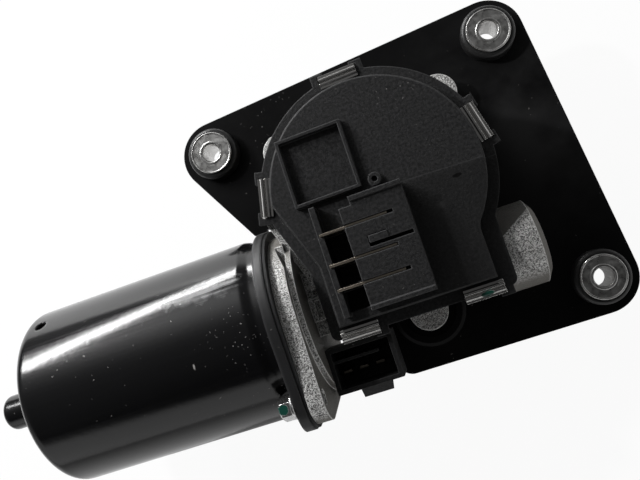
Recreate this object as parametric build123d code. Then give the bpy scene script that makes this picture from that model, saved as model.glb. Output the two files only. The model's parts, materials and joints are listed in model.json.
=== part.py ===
from build123d import *
import os
from math import atan, cos, degrees, pi, radians, sin, sqrt

# Windscreen-wiper gear motor, in millimetres.
# The origin is on the output shaft's axis, in the plane of the spacer sleeves' seats.
# +Z points to the cover, +X runs along the motor's axis to the blind end of the worm's boss.

# Gear train
gear_module = 1.0
wheel_teeth = 62
worm_pitch_radius = 4.0
pressure_angle = 20.0
tooth_clearance = 0.12
tooth_addendum = 1.0 * gear_module
tooth_dedendum = 1.2 * gear_module
worm_turns = 8
wheel_width = 12.0
wheel_pitch_radius = gear_module * wheel_teeth / 2
motor_y = -(wheel_pitch_radius + worm_pitch_radius)
motor_z = 28.0
wheel_low = motor_z - wheel_width / 2
wheel_high = motor_z + wheel_width / 2
worm_radius = worm_pitch_radius + tooth_addendum

# Fits
running_gap = 0.03
press_gap = 0.02
seat_gap = 0.05
rotor_gap = 0.3
thrust_gap = 0.1
shaft_clearance = 1.2

# Mounting plate and its cushions
plate_low = 6.0
plate_thickness = 2.5
plate_high = plate_low + plate_thickness
lobe_radius = 14.0
lobe_centres = [(-60.4, 39.7), (57.6, 46.1), (65.5, -55.4)]
corner_radius = 6.0
corner_centre = (-10.6, -63.4)
plate_bay_gap = 4.2
plate_relief_gap = 1.6
plate_slot_gap = 1.6
plate_slot_reach = 60.0
plate_hole_radius = 12.5
plate_slot_fillet = 3.0
bead_inner = 9.4
bead_outer = 14.0
bead_height = 1.3
bead_slope = 1.2
sleeve_bore = 3.5
sleeve_radius = 5.0
sleeve_flange_radius = 8.4
sleeve_flange_thickness = 1.0
sleeve_height = 15.0
grommet_radius = 10.4
grommet_neck_radius = 7.8
grommet_round = 1.8

# Cover and housing outline, seen from above
rim_radius = 40.6
rim_right = 33.4
rim_left = -31.2
rim_bottom = -46.4
rim_left_knee = -22.0
rim_left_top = (-40.3, 3.5)
rim_trim = 20.0
rim_round = 2.6
rim_rise = 16.0
rim_height = motor_z + rim_rise
seal_thickness = 0.8
lip_inset = 0.6
lip_depth = 2.8
body_inset = 3.0
cavity_inset = 6.0
left_lip_width = 2.3
left_lip_low = -27.0
left_lip_high = 0.5

# Gear housing
bowl_floor_low = 10.5
bowl_floor_high = 14.0
block_low = 17.5
pocket_gap = 1.0
tunnel_radius = 7.0
tunnel_front = 20.0
boss_radius = 15.0
boss_back = 29.8
boss_front = 46.8
boss_round = 2.0
ear_radius = 7.3
ear_high = 16.0
ear_centres = [(-32.8, 29.5), (32.0, 29.8), (1.8, -47.7)]
ear_root_radius = 11.0
ear_root_share = 0.7
spigot_radius = 11.0
spigot_low = 4.0
tower_radius = 11.0
tower_high = 20.6

# Flange between can and housing, in planes across the motor's axis
can_radius = 33.2
can_rim_radius = can_radius + 1.0
can_ear = (27.0, -21.4)
can_ear_radius = 9.6
cast_rim_radius = can_radius - 2.2
cast_ear = (26.5, -22.5)
cast_ear_radius = 8.5
bolt_tilt = 46.0
can_screw_head = 4.4
bolt_radius = can_radius + can_screw_head + 0.5
can_flange_thickness = 3.4
card_rim_thickness = 1.2
card_inset = 0.4
housing_flange_thickness = 5.4
can_flange_back = -48.0
card_back = can_flange_back + can_flange_thickness
housing_flange_back = card_back + card_rim_thickness
housing_flange_front = housing_flange_back + housing_flange_thickness
neck_radius = 28.5
bevel_ys = (-17.2, -2.0)
bevel_rise = 17.0
neck_reach = 2.0
neck_front = housing_flange_front + neck_reach
neck_cavity_radius = 24.6
neck_wall = 1.6
throat_right = -20.5
throat_low = 14.0
lug_edges = (-38.0, -30.0)
lug_slot = (2.7, 0.9)
lug_end_wall = 1.0
lug_height = 6.0
lug_rise = 1.6

# Screws
housing_screw_radius = 3.0
housing_screw_head = 5.5
housing_screw_head_height = 3.2
housing_screw_reach = 14.6
housing_screw_chamfer = 0.8
socket_radius = 2.3
socket_depth = 2.0
hole_end_gap = 0.4
can_screw_radius = 2.5
can_screw_washer = 1.1
can_screw_hex = 4.0
screw_hole_gap = 0.3

# Motor can
can_wall = 2.0
can_end = -141.2
can_shoulder = 4.0
can_dip = 1.0
can_dip_length = 3.0
can_dip_round = 2.4
hub_radius = 15.0
hub_front_radius = 9.6
hub_end = can_end - 8.8
nub_radius = 6.8
nub_flare = 3.0
nub_end = hub_end - 17.0
nub_wall = 1.4
nub_round = 2.2
vent_radius = 2.2
vent_angle = 55.0
vent_x = can_end + 8.2

# Armature
shaft_radius = worm_radius
journal_radius = 4.0
shaft_back = nub_end + nub_wall + 1.0
back_journal_front = hub_end + 4.0
tip_journal_back = 21.0
shaft_front = 33.0
magnet_thickness = 6.4
magnet_overhang = 5.0
air_gap = 1.15
commutator_back = card_back - 19.4
commutator_front = commutator_back + 12.5
core_front = commutator_back - 12.0
magnet_front = core_front + magnet_overhang
magnet_back = can_end + can_wall + 7.2
core_back = magnet_back + magnet_overhang
core_radius = can_radius - can_wall - seat_gap - magnet_thickness - air_gap
slot_count = 12
slot_mouth = 2.4
slot_depth = 12.5
slot_wide = 7.6
slot_top = 2.0
winding_bulge = 8.0
winding_radius = core_radius - 2.1
winding_taper = 3.0
winding_inner_taper = 2.0
winding_inner = 9.0
fibre_thickness = 0.6
commutator_radius = 11.0
commutator_hub_radius = 8.0
segment_count = 12
segment_groove = 0.7
segment_depth = 1.0
riser_length = 1.5
riser_height = 1.6
magnet_arc = 132.0
magnet_clip_wire = 2.4
magnet_clip_inset = 2.0
magnet_clip_arc = 12.0
neck_bush_back = -34.0
neck_bush_front = -25.0
neck_bush_radius = 8.0
tip_bush_back = 23.0
tip_bush_front = 31.0
tip_bush_radius = 7.0
end_bush_back = nub_end + 5.0
end_bush_front = hub_end - 0.5
ball_radius = 2.4
plug_radius = 4.5
plug_length = 5.0

# Brush gear
card_thickness = 2.0
card_radius = can_radius - can_wall - 0.5
card_hole_radius = 13.0
brush_width = 6.4
brush_depth = 7.0
brush_length = 8.6
brush_angles = [90.0, 210.0, 330.0]
brush_names = ["common", "low", "high"]
brush_middle = (commutator_back + commutator_front) / 2
brush_travel = 3.0
holder_wall = 0.8
holder_inner = commutator_radius + 2.0
holder_outer = can_radius - can_wall - 3.2
holder_gap = 0.15
spring_turns = 4
spring_radius = 2.4
spring_wire = 0.6
choke_radius = 3.0
choke_length = 11.0
choke_wall = 1.2
choke_ring = can_radius - 12.2
choke_angles = [150.0, 30.0]
breaker_size = (4.5, 11.0, 6.5)
breaker_place = can_radius - 10.7

# Motor connector under the cover's edge
cup_left = neck_front
cup_right = -12.2
cup_top_edge = -48.5
cup_bottom_edge = -64.6
cup_high = rim_height - 2.0
cup_low = cup_high - 16.0
cup_wall = 1.6
cup_floor = 2.0
wedge_left = -28.0
wedge_right = -17.4
wedge_reach = 3.4
stem_width = 9.0
stem_height = 7.0
stem_middle = (-53.4, cup_low + 5.5)
stem_bite = 3.0
wedge_slopes = (4.0, 1.0, 4.0)
motor_pin_xs = [-31.0, -25.0, -19.0]
motor_pin_size = (3.0, 0.8)
motor_pin_depth = 4.0
key_ridge = (1.0, 18.0, 4.6)

# Output side
output_radius = 6.0
output_stretch_low = -10.0
serration_low = -17.0
serration_low_radius = 4.9
serration_count = 24
stud_radius = 4.0
stud_low = -31.0
output_high = wheel_high + 1.4
bush_radius = 8.0
lower_bush = (7.0, 12.5)
upper_bush = (14.5, tower_high)
washer_radius = 10.2
lower_washer_thickness = 0.8
circlip_thickness = 1.1
circlip_groove = 0.5
circlip_radius = 7.6
oring_width = 2.2
hub_insert_radius = 9.0
wheel_hub_radius = 12.5
wheel_rim_inner = 26.0
wheel_web_thickness = 4.0
wheel_rib_count = 8
wheel_rib_width = 1.8
disc_thickness = 0.6
disc_inner = 10.5
disc_outer = 25.4
disc_notch_angle = 24.0
disc_notch_inner = 20.5

# Electronics
board_low = rim_height - 5.8
board_thickness = 1.6
board_high = board_low + board_thickness
pocket_floor = board_low - pocket_gap
board_inset = 7.4
relay_margin = 2.2
relay_ceiling_gap = 0.3
finger_radii = [13.0, 18.0, 23.0]
finger_width = 2.6
finger_thickness = 0.4
finger_length = 13.0
finger_foot = 3.0
finger_tip = 0.8
board_post_radius = 3.0
board_posts = [(29.0, 7.0), (-12.5, 27.2), (17.5, 24.0)]
board_screw_radius = 1.3
board_screw_head = 2.5
board_screw_head_height = 1.6
board_screw_bite = 5.0
capacitor_radius = 3.6
capacitor_place = (19.0, -4.0)
capacitor_height = 7.0
resistor_places = [(10.0, 12.0), (10.0, 17.0)]
resistor_size = (7.0, 2.4, 2.4)

# Cover
cover_flange_thickness = 2.0
plateau_inset = 4.2
plateau_step = 2.0
plateau_high = rim_height + 7.0
plateau_chamfer = 0.5
joint_sink = 1.0
cover_wall = 1.8
tray_left = -28.0
tray_right = -4.6
tray_bottom = 0.0
tray_top = 24.0
tray_high = plateau_high + 2.4
tray_floor = plateau_high - 0.4
tray_rim = 1.1
post_radius = 2.2
post_hole_radius = 1.0
post_high = plateau_high + 1.6
post_centre = (0.2, 1.0)
block_left = -13.7
block_right = 7.9
block_bottom = -39.7
block_top = -2.9
block_high = plateau_high + 9.0
block_step = (4.1, 2.8)
block_lip = 1.5
block_lip_height = 0.9
bar_left = -23.5
bar_right = -21.5
bar_bottom = -39.6
bar_top = -1.7
bar_high = plateau_high + 5.5
well_low = board_high + 3.8
well_floor = 1.2
blade_ys = [-11.6, -22.2, -30.5]
blade_thickness = 0.8
blade_left = -22.6
blade_right = 0.7
blade_high = block_high - 2.4
blade_low = blade_high - 3.6
blade_leg = (-20.5, -15.5)
blade_slot_gap = 0.15
blade_under_gap = 0.4
blade_slot_ends = [2.7, 1.0, 2.4]
latch_xs = (-7.4, -1.2, 6.9)
latch_ys = (-19.3, -16.9)
latch_gap = 1.2
latch_line = 0.3
latch_rise = 0.5
recess_depth = 5.0

# Edge clips and the ledges beside them
clip_length = 13.4
clip_thickness = 0.6
clip_inset = 3.0
clip_shift = 1.0
clip_outset = 1.0
clip_low = rim_height - seal_thickness - lip_depth
clip_ridges = 2
clip_ridge_height = 0.5
clip_ridge_half = 0.7
clip_ridge_chamfer = 0.4
clip_hook = 1.6
clip_gap = 0.1
ledge_length = 18.8
ledge_reach = 2.7
ledge_wall = 2.3
ledge_hook = 2.2
ledge_gap = 0.15
ledge_root = 2.5
round_clips = [91.0, 167.5, 12.3]
clip_radii = [rim_radius, rim_radius - clip_shift, rim_radius - clip_shift]
straight_clips = [22.0, -21.2]

centre = Align.CENTER
low_end = Align.MIN


def slab(x, y, z):
    # A box from its lowest and highest value along each axis.
    size = (x[1] - x[0], y[1] - y[0], z[1] - z[0])
    return Pos(x[0], y[0], z[0]) * Box(*size, align=(low_end, low_end, low_end))


def rod_z(radius, low, high, place=(0, 0)):
    turned = Cylinder(radius, high - low, align=(centre, centre, low_end))
    return Pos(place[0], place[1], low) * turned


def ring_z(outer, inner, low, high, place=(0, 0)):
    return rod_z(outer, low, high, place) - rod_z(inner, low, high, place)


def rod_x(radius, back, front):
    # A cylinder on the motor's axis.
    turned = Cylinder(radius, front - back, align=(centre, centre, low_end))
    return Pos(back, motor_y, motor_z) * Rot(0, 90, 0) * turned


def ring_x(outer, inner, back, front):
    return rod_x(outer, back, front) - rod_x(inner, back, front)


def turned_x(points, rounds=None):
    # A profile of (x, radius) points turned about the motor's axis.
    plane = Plane((0, motor_y, motor_z), x_dir=(1, 0, 0), z_dir=(0, -1, 0))
    face = make_face(Polyline(*points, close=True))
    for index, radius in (rounds or {}).items():
        corner = face.vertices().sort_by_distance((points[index][0], points[index][1], 0))[0]
        face = fillet(corner, radius)
    return revolve(plane * face, Axis((0, motor_y, motor_z), (1, 0, 0)), 360)


def turned_z(points, place=(0, 0), rounds=None):
    # A profile of (radius, z) points turned about a vertical axis.
    face = make_face(Polyline(*points, close=True))
    for index, radius in (rounds or {}).items():
        corner = face.vertices().sort_by_distance((points[index][0], points[index][1], 0))[0]
        face = fillet(corner, radius)
    solid = revolve(Plane.XZ * face, Axis.Z, 360)
    return Pos(place[0], place[1], 0) * solid


def across(shape, angle):
    # Carries a shape made about the X axis onto the motor's axis and turns it by an angle.
    return Pos(0, motor_y, motor_z) * Rot(angle, 0, 0) * shape


def flange_face(x, radius, ear, ear_radius):
    # A flange in the plane at one x: a disc drawn out to a round ear at each screw.
    plane = Plane((x, motor_y, motor_z), x_dir=(0, 1, 0), z_dir=(1, 0, 0))
    edges = Circle(radius).edges()
    for side in (1, -1):
        edges += (Pos(side * ear[0], side * ear[1]) * Circle(ear_radius)).edges()
    return plane * make_hull(edges)


def can_flange(x):
    return flange_face(x, can_rim_radius, can_ear, can_ear_radius)


def bolt_spots():
    turn = radians(bolt_tilt)
    return [(side * bolt_radius * cos(turn), -side * bolt_radius * sin(turn)) for side in (1, -1)]


def bolt_rod(radius, back, front, spot):
    turned = Cylinder(radius, front - back, align=(centre, centre, low_end))
    return Pos(back, motor_y + spot[0], motor_z + spot[1]) * Rot(0, 90, 0) * turned


def rim_outline(inset=0.0, step=0.0):
    # The cover's edge: a circle over the wheel joined to a block over the worm.
    bowl = Circle(rim_radius)
    right = rim_right - step
    width = right - rim_left
    block = Pos(rim_left + width / 2, rim_bottom / 2) * Rectangle(width, -rim_bottom)
    outline = bowl + block
    trim = Polyline(
        rim_left_top,
        (rim_left, rim_left_knee),
        (rim_left, rim_bottom),
        (rim_left - rim_trim, rim_bottom),
        (rim_left_top[0] - rim_trim, rim_left_top[1]),
        close=True,
    )
    outline = outline - make_face(trim)
    corners = [
        (right, rim_bottom),
        (rim_left, rim_bottom),
        (rim_left, rim_left_knee),
        (right, -sqrt(rim_radius**2 - right**2)),
    ]
    for corner in corners:
        outline = fillet(outline.vertices().sort_by_distance((*corner, 0))[0], rim_round)
    return offset(outline, -inset) if inset else outline


def raised(face, low, high):
    return extrude(Pos(0, 0, low) * face, high - low)


# Mounting plate and cushions


def mounting_plate():
    circles = [Pos(*spot) * Circle(lobe_radius) for spot in lobe_centres]
    circles.append(Pos(*corner_centre) * Circle(corner_radius))
    outline = make_hull([edge for circle in circles for edge in circle.edges()])
    plate = raised(outline, plate_low, plate_high) - plate_slot()
    plate = plate - rod_z(plate_hole_radius, plate_low, plate_high)
    for spot in lobe_centres:
        plate = plate - rod_z(grommet_neck_radius, plate_low, plate_high, spot)
    for spot in ear_centres:
        plate = plate - rod_z(housing_screw_radius + screw_hole_gap, plate_low, plate_high, spot)
    bead = [
        (bead_inner, plate_high),
        (bead_inner + bead_slope, plate_high + bead_height),
        (bead_outer - bead_slope, plate_high + bead_height),
        (bead_outer, plate_high),
    ]
    groove = [(radius, height - plate_thickness) for radius, height in bead]
    plate = plate + turned_z(bead, ear_centres[2]) - turned_z(groove, ear_centres[2])
    return plate


def plate_slot():
    # The motor's bay, cut a little deeper where the flange's oval comes down through the plate.
    front = neck_front + plate_slot_gap
    z = (plate_low, plate_high)
    low = motor_y - plate_slot_reach
    bay = slab((front - plate_slot_reach, front), (low, motor_y + can_radius + plate_bay_gap), z)
    high = motor_y + can_ear[0] + can_ear_radius + plate_relief_gap
    relief = slab((can_flange_back - plate_slot_gap, front), (low, high), z)
    corner = relief.edges().filter_by(Axis.Z).sort_by_distance((front, high, plate_low))[0]
    return bay + fillet(corner, plate_slot_fillet)


def grommets():
    top = sleeve_height - sleeve_flange_thickness - seat_gap
    bottom = sleeve_flange_thickness + seat_gap
    inner = sleeve_radius + seat_gap
    neck = grommet_neck_radius - seat_gap
    profile = [
        (inner, bottom),
        (grommet_radius, bottom),
        (grommet_radius, plate_low - seat_gap),
        (neck, plate_low - seat_gap),
        (neck, plate_high + seat_gap),
        (grommet_radius, plate_high + seat_gap),
        (grommet_radius, top),
        (inner, top),
    ]
    rounds = {1: grommet_round, 6: grommet_round}
    return Compound([turned_z(profile, spot, rounds).solid() for spot in lobe_centres])


def spacer_sleeves():
    profile = [
        (sleeve_bore, 0),
        (sleeve_flange_radius, 0),
        (sleeve_flange_radius, sleeve_flange_thickness),
        (sleeve_radius, sleeve_flange_thickness),
        (sleeve_radius, sleeve_height - sleeve_flange_thickness),
        (sleeve_flange_radius, sleeve_height - sleeve_flange_thickness),
        (sleeve_flange_radius, sleeve_height),
        (sleeve_bore, sleeve_height),
    ]
    return Compound([turned_z(profile, spot).solid() for spot in lobe_centres])


def housing_screws():
    screws = []
    for spot in ear_centres:
        head = rod_z(housing_screw_head, plate_low - housing_screw_head_height, plate_low, spot)
        head = chamfer(head.edges().group_by(Axis.Z)[0], housing_screw_chamfer)
        hexagon = Pos(*spot, plate_low - housing_screw_head_height) * RegularPolygon(socket_radius, 6)
        socket = extrude(hexagon, socket_depth)
        shank = rod_z(housing_screw_radius, plate_low, housing_screw_reach, spot)
        screws.append((head + shank - socket).solid())
    return Compound(screws)


# Gear housing


def housing_ear(spot):
    root = Pos(spot[0] * ear_root_share, spot[1] * ear_root_share) * Circle(ear_root_radius)
    tip = Pos(*spot) * Circle(ear_radius)
    outline = make_hull(root.edges() + tip.edges())
    return raised(outline, bowl_floor_low, ear_high) + rod_z(ear_radius, plate_high, ear_high, spot)


def gear_housing():
    lip_low = rim_height - seal_thickness - lip_depth
    lip_high = rim_height - seal_thickness
    body = rod_z(rim_radius - body_inset, bowl_floor_low, lip_low)
    body += raised(rim_outline(body_inset) & lower_half(), block_low, lip_low)
    body += raised(rim_outline(lip_inset), lip_low, lip_high)
    body += raised(rim_outline(-left_lip_width) & left_corner(), lip_low, lip_high)
    for spot in ear_centres:
        body += housing_ear(spot)
    body += rod_z(spigot_radius, spigot_low, bowl_floor_low)
    boss = rod_x(boss_radius, boss_back, boss_front - boss_round)
    boss -= raised(rim_outline(), lip_high, motor_z + boss_radius + joint_sink)
    body += boss
    body += turned_x(
        [
            (boss_front - boss_round, 0),
            (boss_front - boss_round, boss_radius),
            (boss_front, boss_radius - boss_round * 1.6),
            (boss_front, 0),
        ]
    )
    face = flange_face(housing_flange_back, cast_rim_radius, cast_ear, cast_ear_radius)
    flange = extrude(face, housing_flange_thickness)
    body += flange - flange_bevel() + rod_x(neck_radius, housing_flange_front, neck_front)
    throat = slab(
        (neck_front - neck_wall, rim_left + cavity_inset),
        (rim_bottom + body_inset, throat_right),
        (throat_low, lip_low),
    )
    body += throat
    body += housing_lug(lip_low)
    body -= housing_hollows(lip_low, lip_high)
    body += ring_z(tower_radius, bush_radius, bowl_floor_high, tower_high)
    body -= rod_z(bush_radius + press_gap, spigot_low, tower_high)
    body -= rod_z(output_radius + shaft_clearance, spigot_low, tower_high)
    return body


def flange_bevel():
    # The corner that the casting's flange loses on its way up under the cover.
    low, high = bevel_ys
    points = [(housing_flange_front, low), (housing_flange_back, high), (housing_flange_front, high)]
    top = motor_z + can_radius
    return raised(make_face(Polyline(*points, close=True)), motor_z + bevel_rise, top)


def lower_half():
    size = 3 * rim_radius
    return Pos(0, -size / 2) * Rectangle(size, size)


def left_corner():
    # The stretch of the rim beside the neck, where the housing's lip stands out past the cover.
    middle = (left_lip_high + left_lip_low) / 2
    return Pos(rim_left - rim_trim / 2, middle) * Rectangle(rim_trim + 4, left_lip_high - left_lip_low)


def housing_lug(low):
    # A hollow lug on the neck that meets the lip beside the cover.
    x = (neck_front - neck_wall, rim_left - seat_gap)
    high = low + lug_rise
    lug = slab(x, lug_edges, (low - lug_height, high))
    y = (lug_edges[0] + lug_end_wall, lug_edges[1] - lug_end_wall)
    return lug - slab((rim_left - lug_slot[0], rim_left - lug_slot[1]), y, (high - lug_height, high))


def housing_hollows(lip_low, lip_high):
    cuts = rod_z(rim_radius - cavity_inset, bowl_floor_high, lip_high)
    cuts += raised(rim_outline(cavity_inset), pocket_floor, lip_high)
    cuts += rod_x(tunnel_radius, neck_bush_front - 1, tunnel_front)
    cuts += rod_x(neck_bush_radius + press_gap, neck_bush_back, neck_bush_front)
    cuts += rod_x(shaft_radius + shaft_clearance, housing_flange_back, neck_bush_back)
    cuts += rod_x(neck_cavity_radius, housing_flange_back, neck_front - neck_wall)
    cuts += rod_x(tip_bush_radius + press_gap, tip_bush_back, tip_bush_front)
    cuts += rod_x(journal_radius + shaft_clearance, tunnel_front, tip_bush_back)
    cuts += rod_x(plug_radius + press_gap, tip_bush_front, shaft_front + 2 * ball_radius + plug_length)
    for spot in bolt_spots():
        cuts += bolt_rod(can_screw_radius + press_gap, housing_flange_back, housing_flange_front, spot)
    for spot in ear_centres:
        high = housing_screw_reach + hole_end_gap
        cuts += rod_z(housing_screw_radius + press_gap, spigot_low, high, spot)
    y, z = stem_middle
    cuts += slab(
        (neck_front - neck_wall, neck_front),
        (y - stem_width / 2 - seat_gap, y + stem_width / 2 + seat_gap),
        (z - stem_height / 2 - seat_gap, z + stem_height / 2 + seat_gap),
    )
    return cuts


# Motor can and its fixed parts


def motor_can():
    flare_front = can_flange_back + can_flange_thickness
    outer = [
        (flare_front, 0),
        (flare_front, can_radius - can_dip),
        (can_flange_back - can_dip_length, can_radius - can_dip),
        (can_flange_back - 2 * can_dip_length, can_radius),
        (can_end, can_radius),
        (can_end, hub_radius),
        (hub_end, hub_front_radius),
        (hub_end - nub_flare, nub_radius),
        (nub_end, nub_radius),
        (nub_end, 0),
    ]
    can = turned_x(outer, {2: can_dip_round, 3: can_dip_round, 4: can_shoulder, 8: nub_round})
    can += extrude(can_flange(can_flange_back), can_flange_thickness)
    inner_radius = can_radius - can_wall
    can -= turned_x(
        [
            (flare_front, 0),
            (flare_front, inner_radius),
            (can_end + can_wall, inner_radius),
            (can_end + can_wall, hub_radius - can_wall),
            (hub_end + can_wall, hub_front_radius - can_wall),
            (hub_end + can_wall, nub_radius - nub_wall),
            (nub_end + nub_wall, nub_radius - nub_wall),
            (nub_end + nub_wall, 0),
        ],
        {2: can_shoulder - can_wall},
    )
    vent = Pos(vent_x, 0, can_radius - can_wall) * Cylinder(vent_radius, 3 * can_wall)
    can -= across(vent, -vent_angle)
    for spot in bolt_spots():
        can -= bolt_rod(can_screw_radius + screw_hole_gap, can_flange_back, card_back, spot)
    return can


def can_screws():
    screws = []
    for spot in bolt_spots():
        shank = bolt_rod(can_screw_radius, can_flange_back, housing_flange_front - hole_end_gap, spot)
        washer_back = can_flange_back - can_screw_washer
        washer = bolt_rod(can_screw_head, washer_back, can_flange_back, spot)
        plane = Plane(
            (washer_back - can_screw_hex, motor_y + spot[0], motor_z + spot[1]),
            x_dir=(0, 1, 0),
            z_dir=(1, 0, 0),
        )
        head = extrude(plane * RegularPolygon(can_screw_head - seat_gap, 6), can_screw_hex)
        screws.append((shank + washer + head).solid())
    return Compound(screws)


def can_end_bush():
    outer = nub_radius - nub_wall - press_gap
    return ring_x(outer, journal_radius + running_gap, end_bush_back, end_bush_front)


def magnet_sector(outer, inner, arc, back, front, middle):
    # A part of a ring about the motor's axis, from an arc in degrees and its middle angle.
    half = radians(arc / 2)
    reach = outer * 2
    ring = ring_x(outer, inner, back, front)
    wedge = make_face(
        Polyline(
            (0, 0),
            (reach * sin(half), reach * cos(half)),
            (0, reach * 1.6),
            (-reach * sin(half), reach * cos(half)),
            close=True,
        )
    )
    plane = Plane((back, motor_y, motor_z), x_dir=(0, 1, 0), z_dir=(1, 0, 0))
    return ring & extrude(plane * Rot(0, 0, middle) * wedge, front - back)


def field_magnets():
    outer = can_radius - can_wall - seat_gap
    inner = outer - magnet_thickness
    halves = [
        magnet_sector(outer, inner, magnet_arc, magnet_back, magnet_front, middle).solid()
        for middle in (0, 180)
    ]
    return Compound(halves)


def magnet_clips():
    # Two U-shaped springs that push the magnets apart along their gaps.
    outer = can_radius - can_wall - seat_gap
    inner = outer - magnet_clip_wire
    clips = []
    gap_arc = 180 - magnet_arc
    for middle in (90, 270):
        back = magnet_back + magnet_clip_inset
        full = magnet_sector(outer, inner, gap_arc - 1, back, magnet_front - magnet_clip_inset, middle)
        back += 2 * magnet_clip_inset
        wide = gap_arc - magnet_clip_arc
        hole = magnet_sector(outer + joint_sink, inner - joint_sink, wide, back, magnet_front, middle)
        clips.append((full - hole).solid())
    return Compound(clips)


# Armature


def worm_thread():
    # One right-hand start, with its crest facing the wheel at x = 0.
    lead = pi * gear_module
    length = worm_turns * lead
    root = worm_pitch_radius - tooth_dedendum
    slope = sin(radians(pressure_angle)) / cos(radians(pressure_angle))
    half_pitch = lead / 4 - tooth_clearance
    half_root = half_pitch + tooth_dedendum * slope
    half_crest = half_pitch - tooth_addendum * slope
    sink = 0.3
    path = Helix(lead, length, worm_pitch_radius)
    profile = make_face(
        Polyline(
            (root - sink, -half_root),
            (worm_radius, -half_crest),
            (worm_radius, half_crest),
            (root - sink, half_root),
            close=True,
        )
    )
    thread = sweep(Plane.XZ * profile, path=path, is_frenet=True)
    thread = Pos(0, 0, -length / 2) * thread
    # The helix starts on its own +X side, which is turned here to face the wheel.
    return Pos(0, motor_y, motor_z) * Rot(0, 90, 0) * Rot(0, 0, 90) * thread


def armature_shaft():
    lead = pi * gear_module
    half = worm_turns * lead / 2
    root = worm_pitch_radius - tooth_dedendum
    profile = [
        (shaft_back, 0),
        (shaft_back, journal_radius),
        (back_journal_front, journal_radius),
        (back_journal_front, shaft_radius),
        (-half - 2, shaft_radius),
        (-half, root),
        (half, root),
        (half + 2, shaft_radius),
        (tip_journal_back, shaft_radius),
        (tip_journal_back, journal_radius),
        (shaft_front, journal_radius),
        (shaft_front, 0),
    ]
    return turned_x(profile) + worm_thread()


def slot_cutter(back, front, gap=0.0, closed=False):
    # The space between two teeth of the lamination stack, or the coil side in it.
    half = slot_wide / 2 - gap
    high = core_radius - slot_top - gap
    low = core_radius - slot_depth + gap
    narrow = half * 0.42
    points = [(-narrow, low), (-half, high - 1.6), (-half * 0.6, high)]
    if not closed:
        points += [(-slot_mouth / 2, high), (-slot_mouth / 2, core_radius + 1)]
    points += [(-x, y) for x, y in reversed(points)]
    plane = Plane((back, 0, 0), x_dir=(0, 1, 0), z_dir=(1, 0, 0))
    return extrude(plane * make_face(Polyline(*points, close=True)), front - back)


def around_axis(shape, count):
    return [across(shape, 360 * index / count) for index in range(count)]


def armature_core():
    core = ring_x(core_radius, shaft_radius + press_gap, core_back, core_front)
    cutter = slot_cutter(core_back, core_front)
    for cut in around_axis(cutter, slot_count):
        core -= cut
    return core


def core_insulators():
    fibres = []
    outer = core_radius - slot_depth - rotor_gap
    for back in (core_back - fibre_thickness, core_front):
        fibre = ring_x(outer, shaft_radius + press_gap, back, back + fibre_thickness)
        fibres.append(fibre.solid())
    return Compound(fibres)


def armature_windings():
    back = core_back - fibre_thickness
    front = core_front + fibre_thickness
    ends = [
        (back, winding_inner),
        (back, winding_radius),
        (back - winding_bulge, winding_radius - winding_taper),
        (back - winding_bulge, winding_inner + winding_inner_taper),
    ]
    coil = turned_x(ends) + turned_x([(core_back + core_front - x, radius) for x, radius in ends])
    side = slot_cutter(back, front, gap=0.25, closed=True)
    for bar in around_axis(side, slot_count):
        coil += bar
    return coil


def commutator_hub():
    inner = shaft_radius + press_gap
    return ring_x(commutator_hub_radius, inner, commutator_back - riser_length, commutator_front)


def commutator():
    inner = commutator_hub_radius + press_gap
    ring = ring_x(commutator_radius, inner, commutator_back, commutator_front)
    riser_back = commutator_back - riser_length
    ring += ring_x(commutator_radius + riser_height, inner, riser_back, commutator_back)
    groove = slab(
        (riser_back, commutator_front),
        (-segment_groove / 2, segment_groove / 2),
        (commutator_radius - segment_depth, commutator_radius + 2 * riser_height),
    )
    for cut in around_axis(groove, segment_count):
        ring -= cut
    return ring


def neck_bush():
    return ring_x(neck_bush_radius, shaft_radius + running_gap, neck_bush_back, neck_bush_front)


def tip_bush():
    return ring_x(tip_bush_radius, journal_radius + running_gap, tip_bush_back, tip_bush_front)


def thrust_ball():
    return Pos(shaft_front + thrust_gap + ball_radius, motor_y, motor_z) * Sphere(ball_radius)


def thrust_plug():
    back = shaft_front + thrust_gap + 2 * ball_radius
    return rod_x(plug_radius, back, shaft_front + 2 * ball_radius + plug_length)


# Brush gear


def radial_block(width, axial, inner, outer, middle_x=brush_middle):
    # A block that stands radially on the +Z side of the X axis.
    return slab((middle_x - axial / 2, middle_x + axial / 2), (-width / 2, width / 2), (inner, outer))


def brush_card():
    back = card_back - card_thickness
    face = flange_face(card_back, can_rim_radius - card_inset, can_ear, can_ear_radius - card_inset)
    rim = extrude(face, card_rim_thickness)
    card = rim + rod_x(card_radius, back, card_back)
    card -= rod_x(card_hole_radius, back, housing_flange_back)
    for spot in bolt_spots():
        card -= bolt_rod(can_screw_radius + screw_hole_gap, card_back, housing_flange_back, spot)
    return card


def holder_width():
    return brush_width + 2 * (holder_gap + holder_wall)


def brush_holders():
    holders = []
    bore_w = brush_width + 2 * holder_gap
    bore_d = brush_depth + 2 * holder_gap
    card_face = card_back - card_thickness
    low = brush_middle - bore_d / 2 - holder_wall
    for angle in brush_angles:
        y = (-holder_width() / 2, holder_width() / 2)
        box = slab((low, card_face), y, (holder_inner, holder_outer))
        bore = radial_block(bore_w, bore_d, holder_inner, holder_outer - holder_wall)
        under = slab(
            (brush_middle + bore_d / 2 + holder_wall, card_face),
            (-bore_w / 2, bore_w / 2),
            (holder_inner, holder_outer),
        )
        holders.append(across(box - bore - under, angle).solid())
    return Compound(holders)


def brush(angle):
    inner = commutator_radius + rotor_gap
    body = radial_block(brush_width, brush_depth, inner, inner + brush_length)
    return across(body, angle)


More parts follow.
